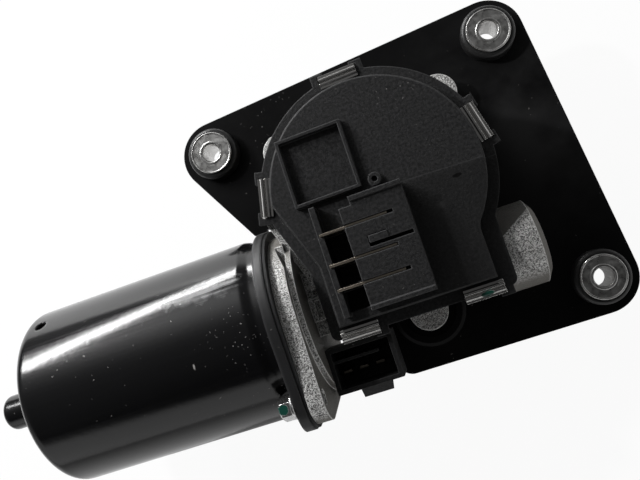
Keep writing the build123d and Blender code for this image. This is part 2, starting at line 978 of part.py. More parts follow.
def brush_spring(angle):
    low = commutator_radius + rotor_gap + brush_length + 0.05
    high = holder_outer - holder_wall - 0.05
    height = high - low - spring_wire
    path = Helix(height / spring_turns, height, spring_radius)
    wire = sweep(
        Plane.XZ * Pos(spring_radius, 0) * Rectangle(spring_wire, spring_wire),
        path=path,
        is_frenet=True,
    )
    return across(Pos(brush_middle, 0, low + spring_wire / 2) * wire, angle)


def chokes():
    back = card_back - card_thickness - 2 * choke_radius
    coils = []
    for angle in choke_angles:
        core = Cylinder(choke_radius, choke_length) - Cylinder(choke_radius - choke_wall, choke_length)
        lying = Pos(back + choke_radius, 0, choke_ring) * Rot(90, 0, 0) * core
        coils.append(across(lying, angle).solid())
    return Compound(coils)


def thermal_breaker():
    depth, width, height = breaker_size
    front = card_back - card_thickness
    z = (breaker_place - height / 2, breaker_place + height / 2)
    body = slab((front - depth, front), (-width / 2, width / 2), z)
    return across(body, 270)


# Motor connector


def motor_connector():
    cup = slab((cup_left, cup_right), (cup_bottom_edge, cup_top_edge), (cup_low, cup_high))
    inside = slab(
        (cup_left + cup_wall, cup_right - cup_wall),
        (cup_bottom_edge + cup_wall, cup_top_edge - cup_wall),
        (cup_low + cup_floor, cup_high),
    )
    cup -= inside
    wedge_face = make_face(
        Polyline(
            (cup_bottom_edge, cup_low + wedge_slopes[0]),
            (cup_bottom_edge, cup_high - wedge_slopes[1]),
            (cup_bottom_edge - wedge_reach, cup_high - wedge_slopes[2]),
            close=True,
        )
    )
    wedge = extrude(Plane.YZ * wedge_face, wedge_right - wedge_left)
    cup += Pos(wedge_left, 0, 0) * wedge
    y, z = stem_middle
    stem = slab(
        (neck_front - neck_wall - stem_bite, cup_left + cup_wall),
        (y - stem_width / 2, y + stem_width / 2),
        (z - stem_height / 2, z + stem_height / 2),
    )
    wide, long, inset = key_ridge
    ridge = slab(
        (cup_left + cup_wall, cup_left + long),
        (cup_top_edge - inset - wide, cup_top_edge - inset),
        (cup_low + cup_floor, cup_high - cup_wall),
    )
    return cup + stem + ridge


def motor_terminals():
    wide, thick = motor_pin_size
    y = (cup_top_edge + cup_bottom_edge - key_ridge[0] - cup_wall) / 2
    pins = []
    for x in motor_pin_xs:
        z = (cup_low + cup_floor, cup_high - motor_pin_depth)
        pin = slab((x - wide / 2, x + wide / 2), (y - thick / 2, y + thick / 2), z)
        pins.append(pin.solid())
    return Compound(pins)


# Output side


def output_shaft():
    groove_high = spigot_low - lower_washer_thickness - thrust_gap
    groove_low = groove_high - circlip_thickness
    profile = [
        (0, output_high),
        (output_radius, output_high),
        (output_radius, groove_high),
        (output_radius - circlip_groove, groove_high),
        (output_radius - circlip_groove, groove_low),
        (output_radius, groove_low),
        (output_radius, output_stretch_low),
        (serration_low_radius, serration_low),
        (stud_radius, serration_low),
        (stud_radius, stud_low + 1),
        (stud_radius - 1, stud_low),
        (0, stud_low),
    ]
    shaft = turned_z(profile)
    tilt = degrees(atan((output_radius - serration_low_radius) / (output_stretch_low - serration_low)))
    middle = (output_stretch_low + serration_low) / 2
    mean = (output_radius + serration_low_radius) / 2
    length = (output_stretch_low - serration_low) * 1.3
    notch = Rot(0, 0, 45) * Box(0.7, 0.7, length)
    for index in range(serration_count):
        turn = 360 * index / serration_count
        shaft -= Rot(0, 0, turn) * Pos(mean, 0, middle) * Rot(0, tilt, 0) * notch
    return shaft


def worm_wheel():
    outer = wheel_pitch_radius + tooth_addendum
    root = wheel_pitch_radius - tooth_dedendum
    wheel = rod_z(outer, wheel_low, wheel_high)
    web_low = wheel_high - wheel_web_thickness
    wheel -= ring_z(wheel_rim_inner, wheel_hub_radius, wheel_low, web_low)
    for index in range(wheel_rib_count):
        rib = slab(
            (wheel_hub_radius - 1, wheel_rim_inner + 1),
            (-wheel_rib_width / 2, wheel_rib_width / 2),
            (wheel_low + 2, web_low),
        )
        wheel += Rot(0, 0, 360 * index / wheel_rib_count) * rib
    wheel -= rod_z(hub_insert_radius + press_gap, wheel_low, wheel_high)
    slope = sin(radians(pressure_angle)) / cos(radians(pressure_angle))
    half_pitch = pi * gear_module / 4
    half_root = half_pitch - tooth_dedendum * slope
    half_tip = half_pitch + tooth_addendum * slope
    over = 0.5
    gap = Polyline(
        (root, -half_root),
        (outer, -half_tip),
        (outer + over, -half_tip - over * slope),
        (outer + over, half_tip + over * slope),
        (outer, half_tip),
        (root, half_root),
        close=True,
    )
    cutter = extrude(make_face(gap), wheel_width, both=True)
    lead_angle = degrees(atan(gear_module / (2 * worm_pitch_radius)))
    cutter = Rot(-lead_angle, 0, 0) * cutter
    for index in range(wheel_teeth):
        turn = -90 + 360 * index / wheel_teeth
        wheel -= Pos(0, 0, motor_z) * Rot(0, 0, turn) * cutter
    return wheel


def wheel_hub():
    return ring_z(hub_insert_radius, output_radius + press_gap, wheel_low, wheel_high)


def park_disc():
    low = wheel_high
    disc = ring_z(disc_outer, disc_inner, low, low + disc_thickness)
    half = radians(disc_notch_angle / 2)
    reach = disc_outer * 1.5
    side = (reach * cos(half), reach * sin(half))
    wedge = make_face(Polyline((0, 0), side, (side[0], -side[1]), close=True))
    notch = raised(wedge, low, low + disc_thickness) - rod_z(disc_notch_inner, low, low + disc_thickness)
    return disc - Rot(0, 0, 120) * notch


def output_bushes():
    inner = output_radius + running_gap
    bushes = [ring_z(bush_radius, inner, low, high).solid() for low, high in (lower_bush, upper_bush)]
    return Compound(bushes)


def shaft_seal():
    outer = bush_radius
    inner = output_radius + seat_gap
    low = lower_bush[0] - oring_width - 0.1
    return ring_z(outer, inner, low, low + oring_width)


def shaft_washers():
    inner = output_radius + running_gap
    lower = ring_z(washer_radius, inner, spigot_low - lower_washer_thickness, spigot_low)
    upper = ring_z(washer_radius, inner, tower_high, wheel_low - thrust_gap)
    return Compound([lower.solid(), upper.solid()])


def shaft_circlip():
    high = spigot_low - lower_washer_thickness - thrust_gap
    low = high - circlip_thickness
    inner = output_radius - circlip_groove + press_gap
    ring = ring_z(circlip_radius, inner, low, high)
    mouth = slab((0, circlip_radius * 2), (-3.4, 3.4), (low, high))
    return ring - mouth


# Electronics


def circuit_board():
    board = raised(rim_outline(board_inset), board_low, board_high)
    for spot in board_posts:
        board -= rod_z(board_screw_radius + screw_hole_gap, board_low, board_high, spot)
    return board


def relay():
    x = (tray_left + cover_wall + relay_margin, tray_right - cover_wall - relay_margin)
    y = (tray_bottom + relay_margin, tray_top - relay_margin - cover_wall)
    return slab(x, y, (board_high, tray_floor - cover_wall - relay_ceiling_gap))


def board_parts():
    capacitor = rod_z(capacitor_radius, board_high, board_high + capacitor_height, capacitor_place)
    parts = [capacitor.solid()]
    for x, y in resistor_places:
        long, wide, high = resistor_size
        z = (board_high, board_high + high)
        part = slab((x - long / 2, x + long / 2), (y - wide / 2, y + wide / 2), z)
        parts.append(part.solid())
    return Compound(parts)


def park_contacts():
    fingers = []
    touch = wheel_high + disc_thickness + rotor_gap
    for radius in finger_radii:
        foot_z = (board_low - finger_thickness, board_low)
        foot = slab((-finger_foot, 0), (radius, radius + finger_width), foot_z)
        arm_face = make_face(
            Polyline(
                (0, board_low),
                (0, board_low - finger_thickness),
                (finger_length, touch),
                (finger_length + finger_tip, touch),
                (finger_length + finger_tip, touch + finger_thickness),
                (finger_length, touch + finger_thickness),
                close=True,
            )
        )
        arm = extrude(Plane.XZ * arm_face, -finger_width)
        fingers.append((foot + Pos(0, radius, 0) * arm).solid())
    return Compound([Rot(0, 0, 180) * finger for finger in fingers])


def board_screws():
    screws = []
    for spot in board_posts:
        head = rod_z(board_screw_head, board_low - board_screw_head_height, board_low, spot)
        shank = rod_z(board_screw_radius, board_low, board_high + board_screw_bite, spot)
        screws.append((head + shank).solid())
    return Compound(screws)


# Cover


def housing_cover():
    flange_high = rim_height + cover_flange_thickness
    cover = raised(rim_outline(), rim_height, flange_high)
    plateau = raised(rim_outline(plateau_inset, plateau_step), flange_high, plateau_high)
    plateau = chamfer(plateau.edges().group_by(Axis.Z)[-1], plateau_chamfer)
    cover += plateau
    cover += slab((tray_left, tray_right), (tray_bottom, tray_top), (rim_height, tray_high))
    cover += connector_block()
    for clip in clip_places():
        cover -= clip * clip_notch()
        for ledge in clip_ledges(*ledge_sides(clip)):
            cover += clip * ledge
    cover -= cover_hollow()
    cover += well_box()
    cover -= wells()
    cover -= slab(
        (tray_left + tray_rim, tray_right - tray_rim),
        (tray_bottom + tray_rim, tray_top - tray_rim),
        (tray_floor, tray_high),
    )
    cover += ring_z(post_radius, post_hole_radius, plateau_high, post_high, post_centre)
    hole_high = board_high + board_screw_bite + hole_end_gap
    for spot in board_posts:
        post = rod_z(board_post_radius, board_high, plateau_high - cover_wall, spot)
        cover += post - rod_z(board_screw_radius + press_gap, board_high, hole_high, spot)
    return cover


def cover_hollow():
    ceiling = plateau_high - cover_wall
    hollow = raised(rim_outline(plateau_inset + cover_wall, plateau_step), rim_height, ceiling)
    hollow += slab(
        (tray_left + cover_wall, tray_right - cover_wall),
        (tray_bottom + cover_wall, tray_top - cover_wall),
        (rim_height, tray_floor - cover_wall),
    )
    return hollow


def connector_block():
    low = plateau_high - joint_sink
    block = slab((block_left, block_right), (block_bottom, block_top), (low, block_high))
    block -= slab(
        (block_left, block_left + block_step[0]),
        (block_top - block_step[1], block_top),
        (plateau_high, block_high),
    )
    lip_z = (block_high, block_high + block_lip_height)
    block += slab((block_left + block_step[0], block_right), (block_top - block_lip, block_top), lip_z)
    block += slab((block_left, block_right), (block_bottom, block_bottom + block_lip), lip_z)
    block += latch_tab()
    block -= latch_recess()
    for y, end in zip(blade_ys, blade_slot_ends):
        half = blade_thickness / 2 + blade_slot_gap
        z = (blade_low - blade_under_gap, block_high)
        block -= slab((block_left, end), (y - half, y + half), z)
    block += slab((bar_left, bar_right), (bar_bottom, bar_top), (low, bar_high))
    for y in blade_ys:
        half = blade_thickness / 2 + blade_slot_gap
        z = (blade_low - blade_under_gap, bar_high)
        block -= slab((blade_left - blade_slot_gap, bar_right), (y - half, y + half), z)
    return block


def latch_tab():
    # The raised thumb of the spring latch, level with the block along its arm.
    left, right = latch_xs[:2]
    return slab((left, right), latch_ys, (block_high - latch_rise, block_high + latch_rise))


def latch_recess():
    # The slots that free the latch's arm: a wide one below it and a thin one above its thumb.
    z = (block_high - recess_depth, block_high)
    left, right, end = latch_xs
    recess = slab((left - latch_line, end), (latch_ys[0] - latch_gap, latch_ys[0]), z)
    recess += slab((left - latch_line, left), latch_ys, z)
    return recess + slab((left - latch_line, right), (latch_ys[1], latch_ys[1] + latch_line), z)


def well_box():
    return slab(
        (bar_left, block_left + well_floor),
        (bar_bottom, blade_ys[0] + well_floor),
        (well_low - well_floor, plateau_high),
    )


def wells():
    cuts = None
    edges = [blade_ys[0], blade_ys[1], blade_ys[2], bar_bottom + well_floor]
    half = (blade_thickness + well_floor) / 2
    for top, bottom in zip(edges[:-1], edges[1:]):
        low = bottom + half if bottom in blade_ys else bottom
        well = slab((bar_right, block_left), (low, top - half), (well_low, plateau_high))
        cuts = well if cuts is None else cuts + well
    for y in blade_ys:
        half_slot = blade_thickness / 2 + blade_slot_gap
        cuts += slab(
            (blade_leg[0] - blade_slot_gap, blade_leg[1] + blade_slot_gap),
            (y - half_slot, y + half_slot),
            (well_low - well_floor, blade_low + joint_sink),
        )
    return cuts


def connector_terminals():
    blades = []
    for y in blade_ys:
        half = blade_thickness / 2
        bar = slab((blade_left, blade_right), (y - half, y + half), (blade_low, blade_high))
        leg = slab(blade_leg, (y - half, y + half), (board_high, blade_low))
        blades.append((bar + leg).solid())
    return Compound(blades)


def cover_seal():
    low = rim_height - seal_thickness
    return raised(rim_outline(lip_inset + 0.4) - rim_outline(cavity_inset - 0.6), low, rim_height)


def clip_places():
    # Where each clip sits: its outward direction is local +X, its length runs along local Y.
    places = [Rot(0, 0, turn) * Pos(radius, 0, 0) for turn, radius in zip(round_clips, clip_radii)]
    places += [Pos(x, rim_bottom, 0) * Rot(0, 0, -90) for x in straight_clips]
    return places


def ledge_sides(place):
    # Clips beside the motor's neck have a ledge on the free side alone.
    straight = place.position.Y < rim_bottom + 1
    return (not straight, True) if place.position.X > 0 or not straight else (False, True)


def clip_notch():
    # The flat that the cover's flange gives a clip's leg.
    x = (clip_outset - clip_gap, clip_outset + clip_thickness + clip_gap)
    half = clip_length / 2 + clip_gap
    return slab(x, (-half, half), (rim_height, rim_height + cover_flange_thickness))


def clip_ledges(first, second):
    # L-shaped lugs of the cover's flange that keep a clip from sliding along the edge.
    z = (rim_height, rim_height + cover_flange_thickness)
    tip_x = (clip_outset + clip_thickness + ledge_gap, ledge_reach)
    ledges = []
    for side, wanted in ((-1, first), (1, second)):
        if not wanted:
            continue
        outer = side * ledge_length / 2
        inner = outer - side * ledge_wall
        hook = inner - side * ledge_hook
        arm = slab((-ledge_root, ledge_reach), tuple(sorted((outer, inner))), z)
        tip = slab(tip_x, tuple(sorted((outer, hook))), z)
        ledges.append(arm + tip)
    return ledges


def clip_shape():
    # A C-shaped strip over the cover's edge, hooked under the housing's lip.
    top = rim_height + cover_flange_thickness + clip_gap
    inner = -clip_inset
    outer = clip_outset + clip_thickness
    low = clip_low - clip_gap
    strip = [
        (inner, top),
        (clip_outset, top),
        (clip_outset, low),
        (-clip_hook, low),
        (-clip_hook, low - clip_thickness),
        (outer, low - clip_thickness),
        (outer, top + clip_thickness),
        (inner, top + clip_thickness),
    ]
    face = make_face(Polyline(*strip, close=True))
    clip = extrude(Plane.XZ * face, clip_length / 2, both=True)
    span = outer - inner
    high = top + clip_thickness
    for index in range(clip_ridges):
        x = inner + span * (index + 1) / (clip_ridges + 1)
        ridge = slab(
            (x - clip_ridge_half, x + clip_ridge_half),
            (-clip_length / 2, clip_length / 2),
            (high - clip_gap, high + clip_ridge_height),
        )
        clip += chamfer(ridge.edges().filter_by(Axis.Y).group_by(Axis.Z)[-1], clip_ridge_chamfer)
    return clip


def cover_clips():
    shape = clip_shape()
    return Compound([(place * shape).solid() for place in clip_places()])


pieces = {
    "mounting_plate": mounting_plate,
    "grommets": grommets,
    "spacer_sleeves": spacer_sleeves,
    "housing_screws": housing_screws,
    "gear_housing": gear_housing,
    "motor_can": motor_can,
    "can_screws": can_screws,
    "can_end_bush": can_end_bush,
    "field_magnets": field_magnets,
    "magnet_clips": magnet_clips,
    "armature_shaft": armature_shaft,
    "armature_core": armature_core,
    "core_insulators": core_insulators,
    "armature_windings": armature_windings,
    "commutator_hub": commutator_hub,
    "commutator": commutator,
    "neck_bush": neck_bush,
    "tip_bush": tip_bush,
    "thrust_ball": thrust_ball,
    "thrust_plug": thrust_plug,
    "brush_card": brush_card,
    "brush_holders": brush_holders,
    "chokes": chokes,
    "thermal_breaker": thermal_breaker,
    "motor_connector": motor_connector,
    "motor_terminals": motor_terminals,
    "output_shaft": output_shaft,
    "worm_wheel": worm_wheel,
    "wheel_hub": wheel_hub,
    "park_disc": park_disc,
    "output_bushes": output_bushes,
    "shaft_seal": shaft_seal,
    "shaft_washers": shaft_washers,
    "shaft_circlip": shaft_circlip,
    "circuit_board": circuit_board,
    "relay": relay,
    "board_parts": board_parts,
    "park_contacts": park_contacts,
    "board_screws": board_screws,
    "housing_cover": housing_cover,
    "connector_terminals": connector_terminals,
    "cover_seal": cover_seal,
    "cover_clips": cover_clips,
}

os.makedirs("parts", exist_ok=True)
for name, make in pieces.items():
    export_step(make(), f"parts/{name}.step")
for name, angle in zip(brush_names, brush_angles):
    export_step(brush(angle), f"parts/brush_{name}.step")
    export_step(brush_spring(angle), f"parts/brush_spring_{name}.step")
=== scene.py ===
# Windscreen-wiper gear motor: finishes, small hardware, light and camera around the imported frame.
import json
import math
import bmesh
import bpy
from mathutils import Matrix, Vector


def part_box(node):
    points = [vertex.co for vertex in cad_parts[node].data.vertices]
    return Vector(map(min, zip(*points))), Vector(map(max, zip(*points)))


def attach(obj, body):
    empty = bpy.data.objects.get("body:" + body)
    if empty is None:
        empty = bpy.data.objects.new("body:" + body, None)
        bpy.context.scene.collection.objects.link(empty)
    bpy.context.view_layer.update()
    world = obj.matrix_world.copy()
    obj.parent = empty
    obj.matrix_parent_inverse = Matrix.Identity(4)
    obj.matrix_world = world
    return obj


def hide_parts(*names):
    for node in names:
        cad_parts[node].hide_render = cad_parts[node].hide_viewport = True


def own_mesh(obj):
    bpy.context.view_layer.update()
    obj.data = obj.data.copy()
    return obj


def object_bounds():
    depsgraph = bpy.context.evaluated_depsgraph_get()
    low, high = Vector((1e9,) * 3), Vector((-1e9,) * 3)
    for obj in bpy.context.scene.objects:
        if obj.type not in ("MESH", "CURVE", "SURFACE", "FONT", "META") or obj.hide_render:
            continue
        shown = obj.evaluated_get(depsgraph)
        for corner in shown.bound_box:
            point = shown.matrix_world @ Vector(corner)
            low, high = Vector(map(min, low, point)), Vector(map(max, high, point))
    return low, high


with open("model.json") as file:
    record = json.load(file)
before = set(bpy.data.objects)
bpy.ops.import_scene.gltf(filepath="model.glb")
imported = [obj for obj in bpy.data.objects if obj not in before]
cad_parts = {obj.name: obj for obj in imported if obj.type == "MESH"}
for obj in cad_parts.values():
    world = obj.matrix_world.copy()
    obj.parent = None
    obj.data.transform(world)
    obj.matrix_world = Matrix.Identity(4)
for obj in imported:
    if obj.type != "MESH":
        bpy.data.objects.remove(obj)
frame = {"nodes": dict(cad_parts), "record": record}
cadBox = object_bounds()
nodes = frame["nodes"]
print("frame loaded,", len(nodes), "nodes")

mm = 0.001
scene = bpy.context.scene


# Small helpers for node trees

def addNode(tree, kind, at, props=None, sockets=None):
    node = tree.nodes.new(kind)
    node.location = at
    for key, value in (props or {}).items():
        setattr(node, key, value)
    for key, value in (sockets or {}).items():
        node.inputs[key].default_value = value
    return node


def join(tree, *pairs):
    for source, target in pairs:
        tree.links.new(source, target)


def newGroup(name, inputs, outputs):
    # inputs: name and default, a number or a vector; every output but Normal is a number
    tree = bpy.data.node_groups.new(name, "ShaderNodeTree")
    for label, default in inputs.items():
        kind = "NodeSocketVector" if isinstance(default, tuple) else "NodeSocketFloat"
        socket = tree.interface.new_socket(label, in_out="INPUT", socket_type=kind)
        socket.default_value = default
    for label in outputs:
        kind = "NodeSocketVector" if label == "Normal" else "NodeSocketFloat"
        tree.interface.new_socket(label, in_out="OUTPUT", socket_type=kind)
    source = addNode(tree, "NodeGroupInput", (-900, 0))
    result = addNode(tree, "NodeGroupOutput", (700, 0))
    return tree, source.outputs, result.inputs


def mathNode(tree, operation, at, first, second=None):
    node = addNode(tree, "ShaderNodeMath", at, {"operation": operation})
    for slot, value in ((0, first), (1, second)):
        if value is None:
            continue
        if isinstance(value, (int, float)):
            node.inputs[slot].default_value = value
        else:
            tree.links.new(value, node.inputs[slot])
    return node.outputs[0]


def ramp(tree, at, value, low, high, outLow=0.0, outHigh=1.0):
    # a clamped straight ramp from one range to another
    node = addNode(tree, "ShaderNodeMapRange", at)
    for slot, number in zip(("From Min", "From Max", "To Min", "To Max"), (low, high, outLow, outHigh)):
        if isinstance(number, (int, float)):
            node.inputs[slot].default_value = number
        else:
            tree.links.new(number, node.inputs[slot])
    tree.links.new(value, node.inputs["Value"])
    return node.outputs["Result"]


def objectPoint(tree, at=(-1150, 0)):
    return addNode(tree, "ShaderNodeTexCoord", at).outputs["Object"]


def noise(tree, at, vector, scale, detail=3.0, rough=0.55):
    node = addNode(tree, "ShaderNodeTexNoise", at, None, {"Detail": detail, "Roughness": rough})
    tree.links.new(vector, node.inputs["Vector"])
    if isinstance(scale, (int, float)):
        node.inputs["Scale"].default_value = scale
    else:
        tree.links.new(scale, node.inputs["Scale"])
    return node.outputs["Fac"]


def vectorNode(tree, operation, at, *values):
    node = addNode(tree, "ShaderNodeVectorMath", at, {"operation": operation})
    for slot, value in enumerate(values):
        if isinstance(value, tuple):
            node.inputs[slot].default_value = value
        else:
            tree.links.new(value, node.inputs[slot])
    return node.outputs["Value" if operation in ("DOT_PRODUCT", "LENGTH") else "Vector"]


def cells(tree, at, vector, scale, feature="F1"):
    node = addNode(tree, "ShaderNodeTexVoronoi", at, {"feature": feature})
    join(tree, (vector, node.inputs["Vector"]), (scale, node.inputs["Scale"]))
    return node.outputs


def cellRandom(tree, at, found):
    # one random number for each cell
    split = addNode(tree, "ShaderNodeSeparateColor", at)
    join(tree, (found["Color"], split.inputs["Color"]))
    return split.outputs["Red"]


def facingUp(tree, at, low, high):
    # 0 on faces that stand, 1 on faces that look up
    normal = addNode(tree, "ShaderNodeNewGeometry", at).outputs["Normal"]
    split = addNode(tree, "ShaderNodeSeparateXYZ", (at[0] + 200, at[1]))
    join(tree, (normal, split.inputs[0]))
    return ramp(tree, (at[0] + 400, at[1]), split.outputs["Z"], low, high)


# Shader groups: each puts out masks, heights and tones that the materials use

def makeGrainGroup():
    # fine spark-eroded mould texture, with a slow drift in tone over it
    tree, source, result = newGroup("mouldGrain", {"Scale": 2600.0, "Drift": 60.0}, ("Height", "Tone"))
    point = objectPoint(tree)
    fine = noise(tree, (-500, 200), point, source["Scale"], 2.0, 0.6)
    slow = noise(tree, (-500, -100), point, source["Drift"], 4.0, 0.6)
    coarse = mathNode(tree, "MULTIPLY", (-700, -350), source["Scale"], 0.45)
    dents = cells(tree, (-500, -350), point, coarse)
    mixed = mathNode(tree, "MULTIPLY", (-200, 0), fine, dents["Distance"])
    join(tree, (mathNode(tree, "ADD", (100, 100), fine, mixed), result["Height"]), (slow, result["Tone"]))
    return tree


def makeSandGroup():
    # blasted die casting: round pits under a finer speckle, old stains, and a mask of the faces that look
    # up; the bright blasted tone goes there, and the darker tone of standing faces is partly cast skin and
    # partly painted shade
    tree, source, result = newGroup(
        "blastedCast", {"Scale": 1500.0}, ("Height", "Tone", "Stain", "BlastedAndLit")
    )
    point = objectPoint(tree)
    pits = cells(tree, (-500, 250), point, source["Scale"], "SMOOTH_F1")
    finer = mathNode(tree, "MULTIPLY", (-700, 0), source["Scale"], 2.3)
    spark = cellRandom(tree, (-300, 500), cells(tree, (-500, 500), point, finer))
    spark = mathNode(tree, "MULTIPLY", (-300, 350), spark, 0.5)
    grit = mathNode(tree, "MULTIPLY", (-300, 200), noise(tree, (-500, 0), point, finer, 1.5, 0.6), 0.8)
    speckle = mathNode(tree, "ADD", (-100, 350), spark, grit)
    stain = noise(tree, (-500, -250), point, 45.0, 5.0, 0.65)
    join(
        tree,
        (mathNode(tree, "ADD", (-150, 150), pits["Distance"], speckle), result["Height"]),
        (ramp(tree, (150, 0), speckle, 0.45, 0.85), result["Tone"]),
        (ramp(tree, (150, -250), stain, 0.35, 0.75), result["Stain"]),
        # faces that look up get the bright tone; the darker standing faces are partly painted shade
        (facingUp(tree, (-500, -500), 0.55, 0.8), result["BlastedAndLit"]),
    )
    return tree


def makeDustGroup():
    # sparse specks on faces that look up: Mask has them in drifts, All has them everywhere
    tree, source, result = newGroup(
        "dustSpecks", {"Scale": 420.0, "Amount": 0.25, "Size": 0.14}, ("Mask", "All")
    )
    point = objectPoint(tree)
    warp = addNode(tree, "ShaderNodeTexNoise", (-900, 300), None, {"Scale": 900.0, "Detail": 2.0})
    join(tree, (point, warp.inputs["Vector"]))
    bend = (0.0016, 0.0016, 0.0016)
    bent = vectorNode(tree, "MULTIPLY_ADD", (-650, 250), warp.outputs["Color"], bend, point)
    specks = cells(tree, (-450, 200), bent, source["Scale"])
    near = ramp(tree, (-200, 250), specks["Distance"], 0.0, source["Size"], 1.0, 0.0)
    random = cellRandom(tree, (-200, 50), specks)
    chosen = mathNode(tree, "LESS_THAN", (0, 50), random, source["Amount"])
    drift = ramp(tree, (0, -150), noise(tree, (-450, -200), point, 28.0, 3.0), 0.42, 0.6)
    lying = mathNode(tree, "MULTIPLY", (200, 100), near, chosen)
    lying = mathNode(tree, "MULTIPLY", (350, 50), lying, facingUp(tree, (-450, -400), 0.15, 0.8))
    join(tree, (mathNode(tree, "MULTIPLY", (500, 0), lying, drift), result["Mask"]), (lying, result["All"]))
    return tree


def makeEdgeGroup():
    # softened edges, and a mask where a corner is sharp: the metals and paints take wear there, the
    # mouldings a painted highlight
    tree, source, result = newGroup("softEdges", {"Radius": 0.0003}, ("Normal", "Mask"))
    rounded = addNode(tree, "ShaderNodeBevel", (-500, 100), {"samples": 6})
    plain = addNode(tree, "ShaderNodeNewGeometry", (-500, -150)).outputs["Normal"]
    angle = vectorNode(tree, "DOT_PRODUCT", (-250, 0), rounded.outputs["Normal"], plain)
    join(
        tree,
        (source["Radius"], rounded.inputs["Radius"]),
        (rounded.outputs["Normal"], result["Normal"]),
        (ramp(tree, (0, -50), angle, 0.995, 0.93), result["Mask"]),
    )
    return tree


def makeStreakGroup():
    # drawn or brushed lines along one direction: Stretch is small along the lines
    tree, source, result = newGroup("drawnLines", {"Stretch": (20.0, 1500.0, 1500.0)}, ("Height", "Tone"))
    scaled = vectorNode(tree, "MULTIPLY", (-700, 100), objectPoint(tree), source["Stretch"])
    lines = noise(tree, (-400, 100), scaled, 1.0, 3.0, 0.6)
    join(tree, (lines, result["Height"]), (ramp(tree, (-100, -100), lines, 0.35, 0.65), result["Tone"]))
    return tree


def makeRingGroup():
    # turning marks: waves of the distance from Centre, measured along the axes that Flat keeps
    tree, source, result = newGroup(
        "turnedRings",
        {"Centre": (0.0, 0.0, 0.0), "Flat": (1.0, 1.0, 0.0), "Pitch": 9000.0},
        ("Height", "Tone"),
    )
    point = objectPoint(tree)
    moved = vectorNode(tree, "SUBTRACT", (-900, 100), point, source["Centre"])
    flat = vectorNode(tree, "MULTIPLY", (-720, 100), moved, source["Flat"])
    length = vectorNode(tree, "LENGTH", (-540, 100), flat)
    phase = mathNode(tree, "MULTIPLY", (-360, 100), length, source["Pitch"])
    waves = mathNode(tree, "SINE", (-200, 100), phase)
    drift = noise(tree, (-360, -150), point, 350.0, 3.0)
    height = mathNode(tree, "MULTIPLY", (0, 50), waves, drift)
    join(tree, (height, result["Height"]), (ramp(tree, (200, -100), height, -0.4, 0.4), result["Tone"]))
    return tree


def makeZoneGroup():
    # one side of a straight line through Edge, seen along Z: Across points into the zone
    tree, source, result = newGroup(
        "lineZone",
        {"Edge": (0.0, 0.0, 0.0), "Across": (0.0, 1.0, 0.0), "Blur": 0.0004},
        ("Mask", "Distance"),
    )
    moved = vectorNode(tree, "SUBTRACT", (-600, 100), objectPoint(tree), source["Edge"])
    reach = vectorNode(tree, "DOT_PRODUCT", (-400, 100), moved, source["Across"])
    mask = ramp(tree, (-100, 100), reach, 0.0, source["Blur"])
    join(tree, (mask, result["Mask"]), (reach, result["Distance"]))
    return tree


def makeSpotGroup():
    # a ragged spot round Centre, such as a dab of marking paint or a rubbed patch
    tree, source, result = newGroup(
        "raggedSpot",
        {
            "Centre": (0.0, 0.0, 0.0), "Stretch": (1.0, 1.0, 1.0),
            "Radius": 0.001, "Blur": 0.0002, "Rag": 0.0006, "Scale": 1600.0,
        },
        ("Mask",),
    )
    point = objectPoint(tree)
    moved = vectorNode(tree, "SUBTRACT", (-900, 200), point, source["Centre"])
    scaled = vectorNode(tree, "MULTIPLY", (-720, 200), moved, source["Stretch"])
    length = vectorNode(tree, "LENGTH", (-540, 200), scaled)
    rough = noise(tree, (-540, -50), point, source["Scale"], 3.0, 0.6)
    torn = mathNode(tree, "MULTIPLY", (-350, -50), rough, source["Rag"])
    reach = mathNode(tree, "ADD", (-350, 150), length, torn)
    inner = mathNode(tree, "SUBTRACT", (-350, -250), source["Radius"], source["Blur"])
    join(tree, (ramp(tree, (0, 100), reach, inner, source["Radius"], 1.0, 0.0), result["Mask"]))
    return tree


groups = {
    "zone": makeZoneGroup(),
    "spot": makeSpotGroup(),
    "grain": makeGrainGroup(),
    "sand": makeSandGroup(),
    "dust": makeDustGroup(),
    "edges": makeEdgeGroup(),
    "streaks": makeStreakGroup(),
    "rings": makeRingGroup(),
}
print("shader groups made:", len(groups))


# Materials

def newMaterial(name, metallic=0.0, roughness=0.5, constants=None):
    material = bpy.data.materials.new(name)
    material.use_nodes = True
    tree = material.node_tree
    shader = tree.nodes["Principled BSDF"]
    shader.location = (500, 0)
    tree.nodes["Material Output"].location = (800, 0)
    shader.inputs["Metallic"].default_value = metallic
    shader.inputs["Roughness"].default_value = roughness
    for key, value in (constants or {}).items():
        shader.inputs[key].default_value = value
    return material, tree, shader


def useGroup(tree, name, at, **values):
    node = addNode(tree, "ShaderNodeGroup", at)
    node.node_tree = groups[name]
    for key, value in values.items():
        node.inputs[key].default_value = value
    return node.outputs


def blendColor(tree, at, factor, first, second):
    node = addNode(tree, "ShaderNodeMix", at, {"data_type": "RGBA"})
    tree.links.new(factor, node.inputs["Factor"])
    for slot, value in (("A", first), ("B", second)):
        socket = next(s for s in node.inputs if s.name == slot and s.type == "RGBA")
        if isinstance(value, (tuple, list)):
            socket.default_value = (*value[:3], 1.0)
        else:
            tree.links.new(value, socket)
    return next(s for s in node.outputs if s.type == "RGBA")


def finishNormal(tree, shader, height, depth, edges=None, strength=1.0):
    # depth is the bump's real height in metres
    bump = addNode(tree, "ShaderNodeBump", (250, -300), None, {"Strength": strength, "Distance": depth})
    tree.links.new(height, bump.inputs["Height"])
    if edges is not None:
        tree.links.new(edges["Normal"], bump.inputs["Normal"])
    tree.links.new(bump.outputs["Normal"], shader.inputs["Normal"])


def finishTone(tree, shader, tone, rough):
    join(tree, (tone, shader.inputs["Base Color"]), (rough, shader.inputs["Roughness"]))


def paintOver(tree, shader, at, mask, color):
    # lays a colour over what the base colour has so far
    before = shader.inputs["Base Color"].links[0].from_socket
    join(tree, (blendColor(tree, at, mask, before, color), shader.inputs["Base Color"]))


